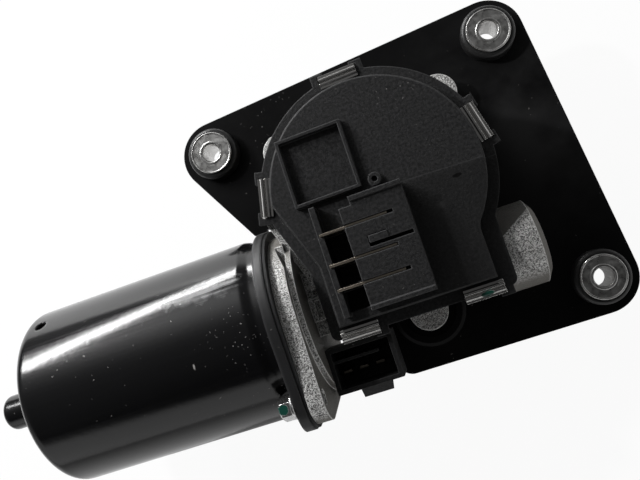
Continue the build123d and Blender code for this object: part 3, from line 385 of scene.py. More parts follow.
thickDust = (0.4, 0.39, 0.38)


def addDustPatch(material, centre, radius, scale=650.0, amount=0.5):
    # a place where the dust lies thicker
    tree = material.node_tree
    near = useGroup(
        tree, "spot", (-600, 1300), Centre=centre, Radius=radius,
        Blur=0.8 * radius, Rag=0.5 * radius, Scale=200.0,
    )
    dust = useGroup(tree, "dust", (-600, 1500), Scale=scale, Amount=amount, Size=0.19)
    thick = mathNode(tree, "MULTIPLY", (0, 1400), near["Mask"], dust["All"])
    paintOver(tree, tree.nodes["Principled BSDF"], (400, 600), thick, thickDust)
    return material


canFinish = {
    "paint": (0.0028, 0.0028, 0.003),
    "patch": (0.0045, 0.0045, 0.005),
    "worn": (0.02, 0.02, 0.021),
    "dust": (0.3, 0.29, 0.28),
    "flange": (0.012, 0.012, 0.0125),
    # the smear roughens the paint, and its pale colour is a painted highlight, the strip's reflection spread
    # out near the flange
    "smearAndSheen": (0.2, 0.2, 0.203),
    "roughRange": (0.1, 0.18),
    "rougher": {"dust": 0.5, "smearAndSheen": 0.4, "flange": 0.3},
    "flangeZone": {"Edge": (-0.0487, 0.0, 0.0), "Across": (1.0, 0.0, 0.0), "Blur": 0.0003},
    "smearAndSheenSpot": {
        "Centre": (-0.066, -0.0165, 0.0555), "Stretch": (0.42, 1.6, 1.6),
        "Radius": 0.0135, "Blur": 0.008, "Rag": 0.013, "Scale": 240.0,
    },
    "scratchSpot": {
        "Centre": (-0.0753, -0.0391, 0.0609), "Stretch": (2.2, 0.7, 0.5),
        "Radius": 0.0016, "Blur": 0.0005, "Rag": 0.0014, "Scale": 1500.0,
    },
    "dustPatch": {"centre": (-0.059, -0.034, 0.061), "radius": 0.017},
}


def makeCanPaint():
    material, tree, shader = newMaterial("canGlossPaint", 0.0, 0.14, {"Specular IOR Level": 0.5})
    edges = useGroup(tree, "edges", (-600, -350), Radius=0.0014)
    dust = useGroup(tree, "dust", (-600, 250), Scale=480.0, Amount=0.3, Size=0.15)
    peel = useGroup(tree, "grain", (-600, 0), Scale=420.0, Drift=35.0)
    drawn = useGroup(tree, "streaks", (-600, -150), Stretch=(12.0, 900.0, 900.0))
    flange = useGroup(tree, "zone", (-600, 500), **canFinish["flangeZone"])
    smearAndSheen = useGroup(tree, "spot", (-600, 700), **canFinish["smearAndSheenSpot"])
    scratch = useGroup(tree, "spot", (-600, 1700), **canFinish["scratchSpot"])
    # the wiped smear: rougher paint, and a pale colour that is a painted highlight
    wiped = mathNode(tree, "MULTIPLY", (-350, 700), smearAndSheen["Mask"], drawn["Tone"])
    tone = blendColor(tree, (-200, 150), peel["Tone"], canFinish["paint"], canFinish["patch"])
    tone = blendColor(tree, (-100, 300), wiped, tone, canFinish["smearAndSheen"])
    tone = blendColor(tree, (0, 300), flange["Mask"], tone, canFinish["flange"])
    tone = blendColor(tree, (0, 150), edges["Mask"], tone, canFinish["worn"])
    tone = blendColor(tree, (200, 150), dust["Mask"], tone, canFinish["dust"])
    tone = blendColor(tree, (300, 900), scratch["Mask"], tone, canFinish["dust"])
    rough = ramp(tree, (-200, -50), drawn["Tone"], 0.0, 1.0, *canFinish["roughRange"])
    masks = {"dust": dust["Mask"], "smearAndSheen": wiped, "flange": flange["Mask"]}
    for place, (key, share) in enumerate(canFinish["rougher"].items()):
        more = mathNode(tree, "MULTIPLY", (0, -50 - 150 * place), masks[key], share)
        rough = mathNode(tree, "ADD", (200, -50 - 150 * place), rough, more)
    finishTone(tree, shader, tone, rough)
    finishNormal(tree, shader, peel["Height"], 0.000012, edges)
    return addDustPatch(material, **canFinish["dustPatch"])


plateFinish = {
    "coat": (0.001, 0.001, 0.0011),
    "patch": (0.0045, 0.0045, 0.0047),
    # a lighter patch on the right of the plate: painted sheen
    "paintedSheen": (0.0145, 0.0145, 0.0147),
    "worn": (0.02, 0.02, 0.02),
    "dust": (0.2, 0.19, 0.18),
    "roughRange": (0.34, 0.5),
    "paintedSheenSpot": {"Centre": (0.066, 0.018, 0.001), "Radius": 0.075, "Blur": 0.05, "Rag": 0.03, "Scale": 70.0},
    "dustPatch": {"centre": (-0.034, 0.044, 0.001), "radius": 0.022, "scale": 520.0},
}


def makePlateCoat():
    material, tree, shader = newMaterial("plateBlackCoat", 0.0, 0.36, {"Specular IOR Level": 0.14})
    edges = useGroup(tree, "edges", (-600, -350), Radius=0.0005)
    dust = useGroup(tree, "dust", (-600, 250), Scale=380.0, Amount=0.2, Size=0.12)
    grain = useGroup(tree, "grain", (-600, 0), Scale=900.0, Drift=30.0)
    # painted sheen: a lighter drifting patch on the right of the plate
    paintedSheen = useGroup(tree, "spot", (-600, 700), **plateFinish["paintedSheenSpot"])
    drifting = ramp(tree, (-350, 500), grain["Tone"], 0.3, 0.6)
    paintedSheenMask = mathNode(tree, "MULTIPLY", (-350, 700), paintedSheen["Mask"], drifting)
    tone = blendColor(tree, (-200, 150), grain["Tone"], plateFinish["coat"], plateFinish["patch"])
    tone = blendColor(tree, (-100, 400), paintedSheenMask, tone, plateFinish["paintedSheen"])
    tone = blendColor(tree, (0, 150), edges["Mask"], tone, plateFinish["worn"])
    tone = blendColor(tree, (200, 150), dust["Mask"], tone, plateFinish["dust"])
    finishTone(tree, shader, tone, ramp(tree, (0, -50), grain["Tone"], 0.3, 0.7, *plateFinish["roughRange"]))
    finishNormal(tree, shader, grain["Height"], 0.00002, edges)
    return addDustPatch(material, **plateFinish["dustPatch"])


castFinish = {
    "bright": (0.95, 0.945, 0.93),
    "dull": (0.07, 0.069, 0.066),
    "stain": (0.16, 0.15, 0.14),
    "stainShare": 0.35,
    # the darker tone of faces that stand: partly the cast skin, partly painted shade
    "skinAndShade": (0.2, 0.192, 0.176),
    "edge": (0.9, 0.895, 0.88),
    "roughRange": (0.6, 0.4),
    # a painted shadow on one corner of the worm-end boss
    "corner": (0.1, 0.097, 0.09),
    "bossShadowZone": {"Edge": (0.0359, -0.0293, 0.0), "Across": (-0.5145, 0.8575, 0.0), "Blur": 0.0003},
    "bossShadowSpot": {"Centre": (0.0375, -0.021, 0.037), "Radius": 0.016, "Blur": 0.002, "Rag": 0.001},
}


def makeCastAluminium():
    # blasted bright where it faces up, darker on standing faces (partly cast skin, partly painted shade),
    # and a painted shadow on one corner of the worm-end boss
    material, tree, shader = newMaterial("castAluminium", 0.55, 0.5)
    edges = useGroup(tree, "edges", (-600, -350), Radius=0.0006)
    sand = useGroup(tree, "sand", (-600, 100), Scale=1500.0)
    corner = useGroup(tree, "zone", (-600, 500), **castFinish["bossShadowZone"])
    boss = useGroup(tree, "spot", (-600, 700), **castFinish["bossShadowSpot"])
    faint = mathNode(tree, "MULTIPLY", (-250, 0), sand["Stain"], castFinish["stainShare"])
    # painted shadow on one corner of the worm-end boss
    paintedShadowOnBoss = mathNode(tree, "MULTIPLY", (-350, 600), corner["Mask"], boss["Mask"])
    tone = blendColor(tree, (-250, 200), sand["Tone"], castFinish["dull"], castFinish["bright"])
    tone = blendColor(tree, (-50, 150), faint, tone, castFinish["stain"])
    # faces that look up take the blasted tones, standing faces the darker tone, which is partly painted
    # shade
    tone = blendColor(tree, (50, 300), sand["BlastedAndLit"], castFinish["skinAndShade"], tone)
    tone = blendColor(tree, (100, 450), paintedShadowOnBoss, tone, castFinish["corner"])
    tone = blendColor(tree, (150, 150), edges["Mask"], tone, castFinish["edge"])
    finishTone(tree, shader, tone, ramp(tree, (0, -50), sand["Tone"], 0.0, 1.0, *castFinish["roughRange"]))
    finishNormal(tree, shader, sand["Height"], 0.00022, edges, 0.9)
    return material


mouldedFinish = {
    "mottleScale": 1000.0,
    "mottleRange": (0.4, 0.64),
    # paler edges: a painted highlight
    "edgeShare": 0.7,
    "edgeGain": 2.6,
    "edgeLift": 0.016,
    "dust": (0.22, 0.215, 0.21),
    "relief": 0.00006,
}


def makeMouldedPlastic(
    name, color, lighter, radius=0.0004, grainScale=2600.0, dustAmount=0.3, roughRange=(0.5, 0.66)
):
    # glass-filled moulding: fine grain over a mottle, paler edges that are a painted highlight, a little
    # dust
    material, tree, shader = newMaterial(name, 0.0, 0.55, {"Specular IOR Level": 0.35})
    edges = useGroup(tree, "edges", (-600, -350), Radius=radius)
    dust = useGroup(tree, "dust", (-600, 250), Scale=520.0, Amount=dustAmount, Size=0.13)
    grain = useGroup(tree, "grain", (-600, 0), Scale=grainScale, Drift=55.0)
    clouds = noise(tree, (-600, 500), objectPoint(tree), mouldedFinish["mottleScale"], 5.0, 0.7)
    mottle = ramp(tree, (-400, 400), clouds, *mouldedFinish["mottleRange"])
    # painted highlight along the sharp edges
    paintedEdgeHighlight = mathNode(tree, "MULTIPLY", (-200, -150), edges["Mask"], mouldedFinish["edgeShare"])
    edgeHighlightTone = [min(1.0, mouldedFinish["edgeGain"] * c + mouldedFinish["edgeLift"]) for c in lighter]
    tone = blendColor(tree, (-200, 150), mottle, color, lighter)
    tone = blendColor(tree, (0, 150), paintedEdgeHighlight, tone, edgeHighlightTone)
    tone = blendColor(tree, (200, 150), dust["Mask"], tone, mouldedFinish["dust"])
    finishTone(tree, shader, tone, ramp(tree, (0, -50), grain["Height"], 0.3, 1.0, *roughRange))
    height = mathNode(tree, "ADD", (0, -300), grain["Height"], mottle)
    finishNormal(tree, shader, height, mouldedFinish["relief"], edges, 0.8)
    return material


coverMarks = {
    # painted shade on the lower side of the crease, right of x = 6 mm
    "below": (0.0025, 0.0025, 0.0025),
    "belowShare": 0.55,
    "belowZone": {"Edge": (0.009, -0.0028, 0.0), "Across": (-0.04, -1.0, 0.0), "Blur": 0.0015},
    "rightZone": {"Edge": (0.006, 0.0, 0.0), "Across": (1.0, 0.0, 0.0), "Blur": 0.004},
    # a pale line along the crease: a painted highlight
    "creaseHighlight": (0.035, 0.035, 0.036),
    "creaseHighlightFade": (0.00008, 0.00028),
    "nick": (0.0, 0.0, 0.0),
    "nickSpot": {
        "Centre": (0.0258, -0.0069, 0.051), "Stretch": (0.45, 1.1, 0.05),
        "Radius": 0.0011, "Blur": 0.0003, "Rag": 0.0005, "Scale": 1800.0,
    },
    "smudge": (0.03, 0.03, 0.03),
    "smudgeShare": 0.9,
    "smudgeSpot": {
        "Centre": (0.0175, -0.0143, 0.051), "Stretch": (1.0, 1.4, 0.05),
        "Radius": 0.0042, "Blur": 0.003, "Rag": 0.004, "Scale": 500.0,
    },
    "dustPatch": {"centre": (0.016, 0.028, 0.05), "radius": 0.013},
}


def markCover(material):
    # a painted highlight along a faint crease across the top, painted shade on its lower side, a nick and a
    # wiped smudge
    tree = material.node_tree
    shader = tree.nodes["Principled BSDF"]
    below = useGroup(tree, "zone", (-300, 900), **coverMarks["belowZone"])
    right = useGroup(tree, "zone", (-300, 1100), **coverMarks["rightZone"])
    nick = useGroup(tree, "spot", (-300, 700), **coverMarks["nickSpot"])
    smudge = useGroup(tree, "spot", (-300, 500), **coverMarks["smudgeSpot"])
    # painted shade: the cover darker on the lower side of the crease, right of x = 6 mm
    dark = mathNode(tree, "MULTIPLY", (0, 900), below["Mask"], right["Mask"])
    dark = mathNode(tree, "MULTIPLY", (150, 900), dark, coverMarks["belowShare"])
    # a pale line along the crease: a painted highlight
    near = mathNode(tree, "ABSOLUTE", (0, 1100), below["Distance"])
    line = ramp(tree, (150, 1100), near, *coverMarks["creaseHighlightFade"], 0.5, 0.0)
    line = mathNode(tree, "MULTIPLY", (300, 1100), line, right["Mask"])
    wiped = mathNode(tree, "MULTIPLY", (300, 500), smudge["Mask"], coverMarks["smudgeShare"])
    paintOver(tree, shader, (300, 900), dark, coverMarks["below"])
    paintOver(tree, shader, (400, 700), line, coverMarks["creaseHighlight"])
    paintOver(tree, shader, (450, 500), wiped, coverMarks["smudge"])
    paintOver(tree, shader, (480, 400), nick["Mask"], coverMarks["nick"])
    rough = shader.inputs["Roughness"]
    before = rough.links[0].from_socket
    join(tree, (ramp(tree, (480, 200), nick["Mask"], 0.0, 1.0, before, 1.0), rough))
    addDustPatch(material, **coverMarks["dustPatch"])


def makeRubber(name, color, roughness):
    material, tree, shader = newMaterial(name, 0.0, roughness, {"Specular IOR Level": 0.5})
    edges = useGroup(tree, "edges", (-600, -350), Radius=0.0003)
    grain = useGroup(tree, "grain", (-600, 0), Scale=1800.0, Drift=120.0)
    bloom = blendColor(tree, (0, 150), grain["Tone"], color, [2.0 * c for c in color])
    rough = ramp(tree, (0, -50), grain["Tone"], 0.3, 0.7, roughness - 0.1, roughness + 0.08)
    finishTone(tree, shader, bloom, rough)
    finishNormal(tree, shader, grain["Height"], 0.00003, edges, 0.6)
    return material


def makeLinedMetal(name, color, darker, roughRange, stretch, depth=0.00001):
    # rolled, drawn or brushed metal with lines along one direction
    material, tree, shader = newMaterial(name, 1.0, roughRange[0])
    edges = useGroup(tree, "edges", (-600, -350), Radius=0.0002)
    lines = useGroup(tree, "streaks", (-600, 100), Stretch=stretch)
    blotch = useGroup(tree, "grain", (-600, -100), Scale=700.0, Drift=160.0)
    tone = blendColor(tree, (-200, 150), lines["Tone"], darker, color)
    tone = blendColor(tree, (0, 150), edges["Mask"], tone, [min(1.0, 1.15 * c) for c in color])
    mixed = mathNode(tree, "MULTIPLY", (-200, -50), lines["Tone"], blotch["Tone"])
    finishTone(tree, shader, tone, ramp(tree, (0, -50), mixed, 0.1, 0.6, *roughRange))
    finishNormal(tree, shader, lines["Height"], depth, edges)
    return material


def makeTurnedMetal(
    name, color, darker, roughRange, centre=(0.0, 0.0, 0.0), flat=(1.0, 1.0, 0.0), pitch=9000.0
):
    # turned on a lathe about an axis through the centre
    material, tree, shader = newMaterial(name, 1.0, roughRange[0])
    edges = useGroup(tree, "edges", (-600, -350), Radius=0.0003)
    rings = useGroup(tree, "rings", (-600, 100), Centre=centre, Flat=flat, Pitch=pitch)
    blotch = useGroup(tree, "grain", (-600, -100), Scale=900.0, Drift=420.0)
    tone = blendColor(tree, (-200, 150), blotch["Tone"], darker, color)
    tone = blendColor(tree, (0, 150), edges["Mask"], tone, [min(1.0, 1.15 * c) for c in color])
    finishTone(tree, shader, tone, ramp(tree, (0, -50), blotch["Tone"], 0.3, 0.7, *roughRange))
    finishNormal(tree, shader, rings["Height"], 0.000012, edges)
    return material


def makeMottled(name, color, other, roughRange, scale, metallic=0.0, depth=0.00004):
    # sintered, stacked or pressed stuff with two tones
    material, tree, shader = newMaterial(name, metallic, roughRange[0])
    edges = useGroup(tree, "edges", (-600, -350), Radius=0.0003)
    sand = useGroup(tree, "sand", (-600, 100), Scale=scale)
    tone = blendColor(tree, (-100, 150), sand["Tone"], color, other)
    finishTone(tree, shader, tone, ramp(tree, (0, -50), sand["Stain"], 0.0, 1.0, *roughRange))
    finishNormal(tree, shader, sand["Height"], depth, edges, 0.7)
    return material


motorAxis = (0.0, -0.035, 0.028)

# looks by slot of the part's record; connector and blade are extra looks for two nodes
plasticLooks = {
    "cover_plastic": {
        "name": "coverPlastic", "color": (0.0055, 0.0055, 0.0058), "lighter": (0.021, 0.021, 0.0215),
        "radius": 0.0006,
    },
    "card_plastic": {
        "name": "cardPlastic", "color": (0.006, 0.006, 0.0065), "lighter": (0.011, 0.011, 0.0115),
        "dustAmount": 0.1,
    },
    "connector": {
        "name": "connectorPlastic", "color": (0.005, 0.005, 0.0052), "lighter": (0.013, 0.013, 0.0132),
        "dustAmount": 0.1,
    },
    "relay_plastic": {
        "name": "relayCase", "color": (0.018, 0.018, 0.022), "lighter": (0.03, 0.03, 0.034),
        "dustAmount": 0.0,
    },
    "phenolic": {
        "name": "phenolicHub", "color": (0.1, 0.045, 0.02), "lighter": (0.16, 0.075, 0.035),
        "dustAmount": 0.0,
    },
    "gear_plastic": {
        "name": "acetalGear", "color": (0.74, 0.71, 0.63), "lighter": (0.82, 0.8, 0.73),
        "radius": 0.0002, "grainScale": 1500.0, "dustAmount": 0.0, "roughRange": (0.32, 0.45),
    },
    "board": {
        "name": "boardLacquer", "color": (0.012, 0.11, 0.045), "lighter": (0.02, 0.17, 0.07),
        "radius": 0.0002, "grainScale": 1200.0, "dustAmount": 0.0, "roughRange": (0.2, 0.32),
    },
}
rubberLooks = {
    "grommet": {"name": "grommetRubber", "color": (0.009, 0.009, 0.009), "roughness": 0.42},
    "seal": {"name": "sealRubber", "color": (0.014, 0.013, 0.013), "roughness": 0.7},
}
linedLooks = {
    "clip_steel": {
        "name": "clipSteel", "color": (0.72, 0.71, 0.69), "darker": (0.67, 0.66, 0.645),
        "roughRange": (0.1, 0.13), "stretch": (90.0, 90.0, 90.0), "depth": 0.0000003,
    },
    # brass darkened far under the blades' brass: painted shade
    "brass": {
        "name": "shadedTinnedBrass", "color": (0.13, 0.115, 0.095), "darker": (0.07, 0.062, 0.052),
        "roughRange": (0.35, 0.5), "stretch": (60.0, 1500.0, 900.0),
    },
    "blade": {
        "name": "contactBrass", "color": (0.6, 0.53, 0.44), "darker": (0.38, 0.33, 0.27),
        "roughRange": (0.3, 0.45), "stretch": (60.0, 1500.0, 900.0),
    },
    "copper": {
        "name": "enamelledWire", "color": (0.62, 0.22, 0.08), "darker": (0.32, 0.09, 0.03),
        "roughRange": (0.2, 0.36), "stretch": (90.0, 2400.0, 2400.0), "depth": 0.00012,
    },
    "laminations": {
        "name": "laminations", "color": (0.24, 0.24, 0.245), "darker": (0.09, 0.09, 0.095),
        "roughRange": (0.35, 0.5), "stretch": (2000.0, 8.0, 8.0), "depth": 0.0001,
    },
}
turnedLooks = {
    "copper_bars": {
        "name": "commutatorCopper", "color": (0.78, 0.42, 0.26), "darker": (0.55, 0.27, 0.16),
        "roughRange": (0.22, 0.4), "centre": motorAxis, "flat": (1.0, 0.0, 0.0), "pitch": 14000.0,
    },
    "steel": {
        "name": "groundSteel", "color": (0.62, 0.61, 0.59), "darker": (0.42, 0.41, 0.4),
        "roughRange": (0.2, 0.34),
    },
    "sleeve": {
        "name": "sleeveZinc", "color": (0.8, 0.795, 0.78), "darker": (0.36, 0.355, 0.345),
        "roughRange": (0.2, 0.48), "pitch": 14000.0,
    },
}
mottledLooks = {
    "screw": {
        "name": "zincPlate", "color": (0.62, 0.62, 0.615), "other": (0.82, 0.82, 0.82),
        "roughRange": (0.22, 0.36), "scale": 900.0, "metallic": 1.0, "depth": 0.00001,
    },
    "bronze": {
        "name": "sinteredBronze", "color": (0.3, 0.19, 0.09), "other": (0.46, 0.32, 0.17),
        "roughRange": (0.4, 0.55), "scale": 2200.0, "metallic": 0.9,
    },
    "magnet": {
        "name": "ferrite", "color": (0.02, 0.02, 0.022), "other": (0.045, 0.045, 0.048),
        "roughRange": (0.5, 0.65), "scale": 1600.0,
    },
    "carbon": {
        "name": "brushCarbon", "color": (0.02, 0.019, 0.018), "other": (0.09, 0.07, 0.055),
        "roughRange": (0.45, 0.6), "scale": 2600.0, "metallic": 0.2,
    },
}
makers = (
    (makeMouldedPlastic, plasticLooks),
    (makeRubber, rubberLooks),
    (makeLinedMetal, linedLooks),
    (makeTurnedMetal, turnedLooks),
    (makeMottled, mottledLooks),
)
materials = {"can": makeCanPaint(), "plate": makePlateCoat(), "casting": makeCastAluminium()}
for make, looks in makers:
    for slotName, look in looks.items():
        materials[slotName] = make(**look)
markCover(materials["cover_plastic"])

slotOf = {row["node"]: row["material_slot"] for row in frame["record"]["subparts"]}
ownLook = {"motor_connector": "connector", "connector_terminals": "blade"}
for name, node in nodes.items():
    node.data.materials.clear()
    node.data.materials.append(materials[ownLook.get(name, slotOf[name])])
    for face in node.data.polygons:
        face.material_index = 0
print("materials made:", len(materials))


# Small hardware: sleeves, hex screws, the output shaft, blade edges and brush springs

def placePiece(mesh, name):
    data = bpy.data.meshes.new(name)
    mesh.to_mesh(data)
    mesh.free()
    piece = bpy.data.objects.new(name, data)
    scene.collection.objects.link(piece)
    return piece


def turnedPiece(name, profile, segments, closed=False, reshape=None):
    # turns (radius, height) points in millimetres about Z; a radius of 0 closes an end
    mesh = bmesh.new()
    rows = []
    for radius, height in profile:
        if radius == 0.0:
            rows.append([mesh.verts.new((0.0, 0.0, height * mm))])
            continue
        row = []
        for step in range(segments):
            angle = 2.0 * math.pi * step / segments
            reach = (reshape(radius, angle, height) if reshape else radius) * mm
            row.append(mesh.verts.new((reach * math.cos(angle), reach * math.sin(angle), height * mm)))
        rows.append(row)
    if closed:
        rows.append(rows[0])
    for first, second in zip(rows, rows[1:]):
        for step in range(segments):
            after = (step + 1) % segments
            corners = [first[step % len(first)], first[after % len(first)]]
            corners += [second[after % len(second)], second[step % len(second)]]
            mesh.faces.new(list(dict.fromkeys(corners)))
    bmesh.ops.recalc_face_normals(mesh, faces=mesh.faces)
    for face in mesh.faces:
        face.smooth = True
    for edge in mesh.edges:
        edge.smooth = edge.calc_face_angle(0.0) < math.radians(28.0)
    return placePiece(mesh, name)


def fitPiece(piece, body, slotName, material, *replaced):
    piece.data.materials.append(material)
    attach(piece, body)
    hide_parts(*replaced)


sleeve = {
    "places": ((-60.4, 39.7), (57.6, 46.1), (65.5, -55.4)),
    "height": 15.0,
    "half": (
        (3.5, 7.5), (3.5, 14.5), (3.75, 14.88), (4.1, 15.0), (4.5, 14.96), (4.75, 14.78),
        (7.65, 14.78), (7.95, 14.94), (8.2, 14.94), (8.4, 14.74), (8.4, 14.24), (8.2, 14.02),
        (5.3, 14.0), (5.0, 13.7), (5.0, 7.5),
    ),
}


def makeSleeves():
    mirrored = [(radius, sleeve["height"] - height) for radius, height in reversed(sleeve["half"][1:-1])]
    for index, place in enumerate(sleeve["places"]):
        piece = turnedPiece(f"turnedSleeve{index + 1}", [*sleeve["half"], *mirrored], 96, True)
        piece.location = (place[0] * mm, place[1] * mm, 0.0)
        fitPiece(piece, "frame", "sleeve", materials["sleeve"], "spacer_sleeves")


hexScrew = {
    "flat": 3.7,  # half the width across the flats
    "washerTop": 1.1,
    "seat": -48.0,
    "radius": 38.1,
    "turn": math.radians(46.0),
    "shank": ((0.0, -9.6), (2.0, -9.6), (2.5, -9.1), (2.5, 0.0)),
    "washer": ((4.15, 0.0), (4.4, 0.2), (4.4, 0.75), (4.2, 1.0)),
    "head": (
        (4.3, 1.1), (4.3, 3.2), (4.3, 4.3), (4.1, 4.52), (3.9, 4.64), (3.7, 4.76), (3.5, 4.88), (3.3, 5.1),
    ),
    "dish": ((2.5, 5.1), (2.1, 4.75), (0.0, 4.7)),
    "dab": (3.6, 0.2, 3.5),
    "dabRadius": 0.0025,
}


def hexReach(radius, angle, height):
    # six flats, cut off at the top by a cone; the washer and the shank stay round
    if height <= hexScrew["washerTop"] - 0.05 or radius < hexScrew["flat"] - 0.05:
        return radius
    sector = math.radians(60.0)
    across = hexScrew["flat"] / math.cos((angle + sector / 2) % sector - sector / 2)
    return min(across, radius)


def makeHexScrews():
    profile = [*hexScrew["shank"], *hexScrew["washer"], *hexScrew["head"], *hexScrew["dish"]]
    outward = Vector((0.0, math.cos(hexScrew["turn"]), -math.sin(hexScrew["turn"])))
    for name, side in (("Low", 1), ("High", -1)):
        piece = turnedPiece("hexScrew" + name, profile, 96, False, hexReach)
        piece.rotation_euler = (0.0, -math.pi / 2, 0.0)
        piece.location = Vector(motorAxis) + side * hexScrew["radius"] * mm * outward
        piece.location.x = hexScrew["seat"] * mm
        fitPiece(piece, "frame", "screw", makeMarkedZinc(), "can_screws")


def makeMarkedZinc():
    # bright zinc with the dab of marking paint that shows a screw was tightened
    material = materials["screw"].copy()
    material.name = "markedZinc"
    addPaintDab(material, [v * mm for v in hexScrew["dab"]], hexScrew["dabRadius"])
    return material


markPaint = {"color": (0.004, 0.045, 0.032), "roughness": 0.35}


def addPaintDab(material, centre, radius, stretch=(1.0, 1.0, 1.0)):
    tree = material.node_tree
    shader = tree.nodes["Principled BSDF"]
    spot = useGroup(
        tree, "spot", (-600, 900), Centre=centre, Stretch=stretch, Radius=radius,
        Blur=0.00015, Rag=0.0012, Scale=900.0,
    )
    metallic = shader.inputs["Metallic"]
    before = shader.inputs["Roughness"].links[0].from_socket
    rough = ramp(tree, (300, 300), spot["Mask"], 0.0, 1.0, before, markPaint["roughness"])
    metal = ramp(tree, (300, 700), spot["Mask"], 0.0, 1.0, metallic.default_value, 0.0)
    paintOver(tree, shader, (300, 500), spot["Mask"], markPaint["color"])
    join(tree, (rough, shader.inputs["Roughness"]), (metal, metallic))


clipDab = {"centre": (0.0226, -0.0466, 0.0476), "radius": 0.0021, "stretch": (0.65, 1.2, 1.0)}


def markClip():
    material = materials["clip_steel"].copy()
    material.name = "markedClipSteel"
    addPaintDab(material, **clipDab)
    nodes["cover_clips"].data.materials[0] = material


shaft = {
    "top": 35.4,
    "radius": 6.0,
    "groove": (3.1, 2.0, 0.5),  # high edge, low edge and depth of the ring's groove
    "serrations": (-10.0, -17.0, 4.9, 24, 0.5),  # from, to, end radius, count and depth
    "thread": (-18.6, -30.0, 4.0, 1.25, 0.62),  # from, to, radius, pitch and depth
    "end": -31.0,
}


def shaftReach(radius, angle, height):
    turn = angle / (2.0 * math.pi)
    high, low, _, count, depth = shaft["serrations"]
    if low < height < high:
        tooth = abs(2.0 * ((turn * count) % 1.0) - 1.0)
        fade = min(1.0, (high - height) / 0.8)
        return radius - depth * fade * (1.0 - tooth)
    high, low, _, pitch, depth = shaft["thread"]
    if low < height < high:
        flank = abs(2.0 * ((turn + height / pitch) % 1.0) - 1.0)
        fade = min(1.0, (high - height) / pitch, (height - low) / pitch)
        return radius - depth * fade * min(1.0, 1.25 * (1.0 - flank))
    return radius


def makeOutputShaft():
    top, radius = shaft["top"], shaft["radius"]
    high, low, depth = shaft["groove"]
    floor, chamfer = radius - depth, radius - 0.2
    profile = [(0.0, top), (radius - 0.6, top), (radius, top - 0.6), (radius, high + 0.2)]
    profile += [(chamfer, high), (floor, high), (floor, low), (chamfer, low), (radius, low - 0.2)]
    start, end, endRadius = shaft["serrations"][:3]
    for step in range(16):
        share = step / 15
        profile.append((radius + (endRadius - radius) * share, start + (end - start) * share))
    neck = end - 0.1
    start, end, stud, pitch = shaft["thread"][:4]
    profile += [(stud - 0.1, neck), (stud - 0.6, start + 1.2), (stud - 0.6, start + 0.5), (stud, start)]
    rows = round((start - end) / pitch * 10)
    profile += [(stud, start + (end - start) * row / rows) for row in range(1, rows + 1)]
    profile += [(stud - 0.1, end - 0.1), (stud - 1.0, shaft["end"])]
    profile += [(1.3, shaft["end"]), (0.0, shaft["end"] + 1.2)]
    piece = turnedPiece("threadedShaft", profile, 192, False, shaftReach)
    fitPiece(piece, "output", "steel", materials["steel"], "output_shaft")


# the raised edges of the three supply blades, which stand in the slots of the cover's block
bladeEdges = {
    "ys": (-11.6, -22.2, -30.5),
    "from": -13.4,
    "to": 0.7,
    "half": 0.4,
    "rise": 1.9,
    "sunk": 0.2,
    "bevel": 0.12,
}


def makeBladeEdges():
    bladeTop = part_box("connector_terminals")[1].z
    size = (
        (bladeEdges["to"] - bladeEdges["from"]) * mm,
        2 * bladeEdges["half"] * mm,
        (bladeEdges["rise"] + bladeEdges["sunk"]) * mm,
    )
    middle = (bladeEdges["from"] + bladeEdges["to"]) / 2 * mm
    height = bladeTop + (bladeEdges["rise"] - bladeEdges["sunk"]) / 2 * mm
    for index, y in enumerate(bladeEdges["ys"]):
        mesh = bmesh.new()
        bmesh.ops.create_cube(mesh, size=1.0)
        bmesh.ops.scale(mesh, vec=size, verts=mesh.verts)
        bmesh.ops.bevel(mesh, geom=mesh.edges, offset=bladeEdges["bevel"] * mm, segments=2, affect="EDGES")
        piece = placePiece(mesh, f"bladeEdge{index + 1}")
        piece.location = (middle, y * mm, height)
        piece.data.materials.append(materials["blade"])
        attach(piece, "frame")


# wound brush springs, which stand between a brush and its holder
brushSpring = {
    "radius": 2.4,
    "wire": 0.3,
    "turns": 5,
    "closedTurns": 0.9,
    "steps": 28,
    "sides": 8,
    "travel": 3.0,
}
jointAxes = {joint["name"]: Vector(joint["axis"]) for joint in frame["record"]["behaviour"]["joints"]}


def springRise(turn):
    # share of the height reached after so many turns: the end coils lie flat, wire on wire
    flat, turns = brushSpring["closedTurns"], brushSpring["turns"]
    return min(1.0, max(0.0, (turn - flat) / (turns - 2.0 * flat)))


def windSpring(low, high):
    # rings of points along the wire, wound about Z from low to high, in millimetres
    wire, steps, sides = brushSpring["wire"], brushSpring["steps"], brushSpring["sides"]
    rings = []
    for step in range(round(brushSpring["turns"] * steps) + 1):
        angle = 2.0 * math.pi * step / steps
        height = low + wire + (high - low - 2.0 * wire) * springRise(step / steps)
        ring = []
        for side in range(sides):
            around = 2.0 * math.pi * side / sides
            reach = brushSpring["radius"] + wire * math.cos(around)
            rise = height + wire * math.sin(around)
            ring.append(Vector((reach * math.cos(angle), reach * math.sin(angle), rise)))
        rings.append(ring)
    return rings


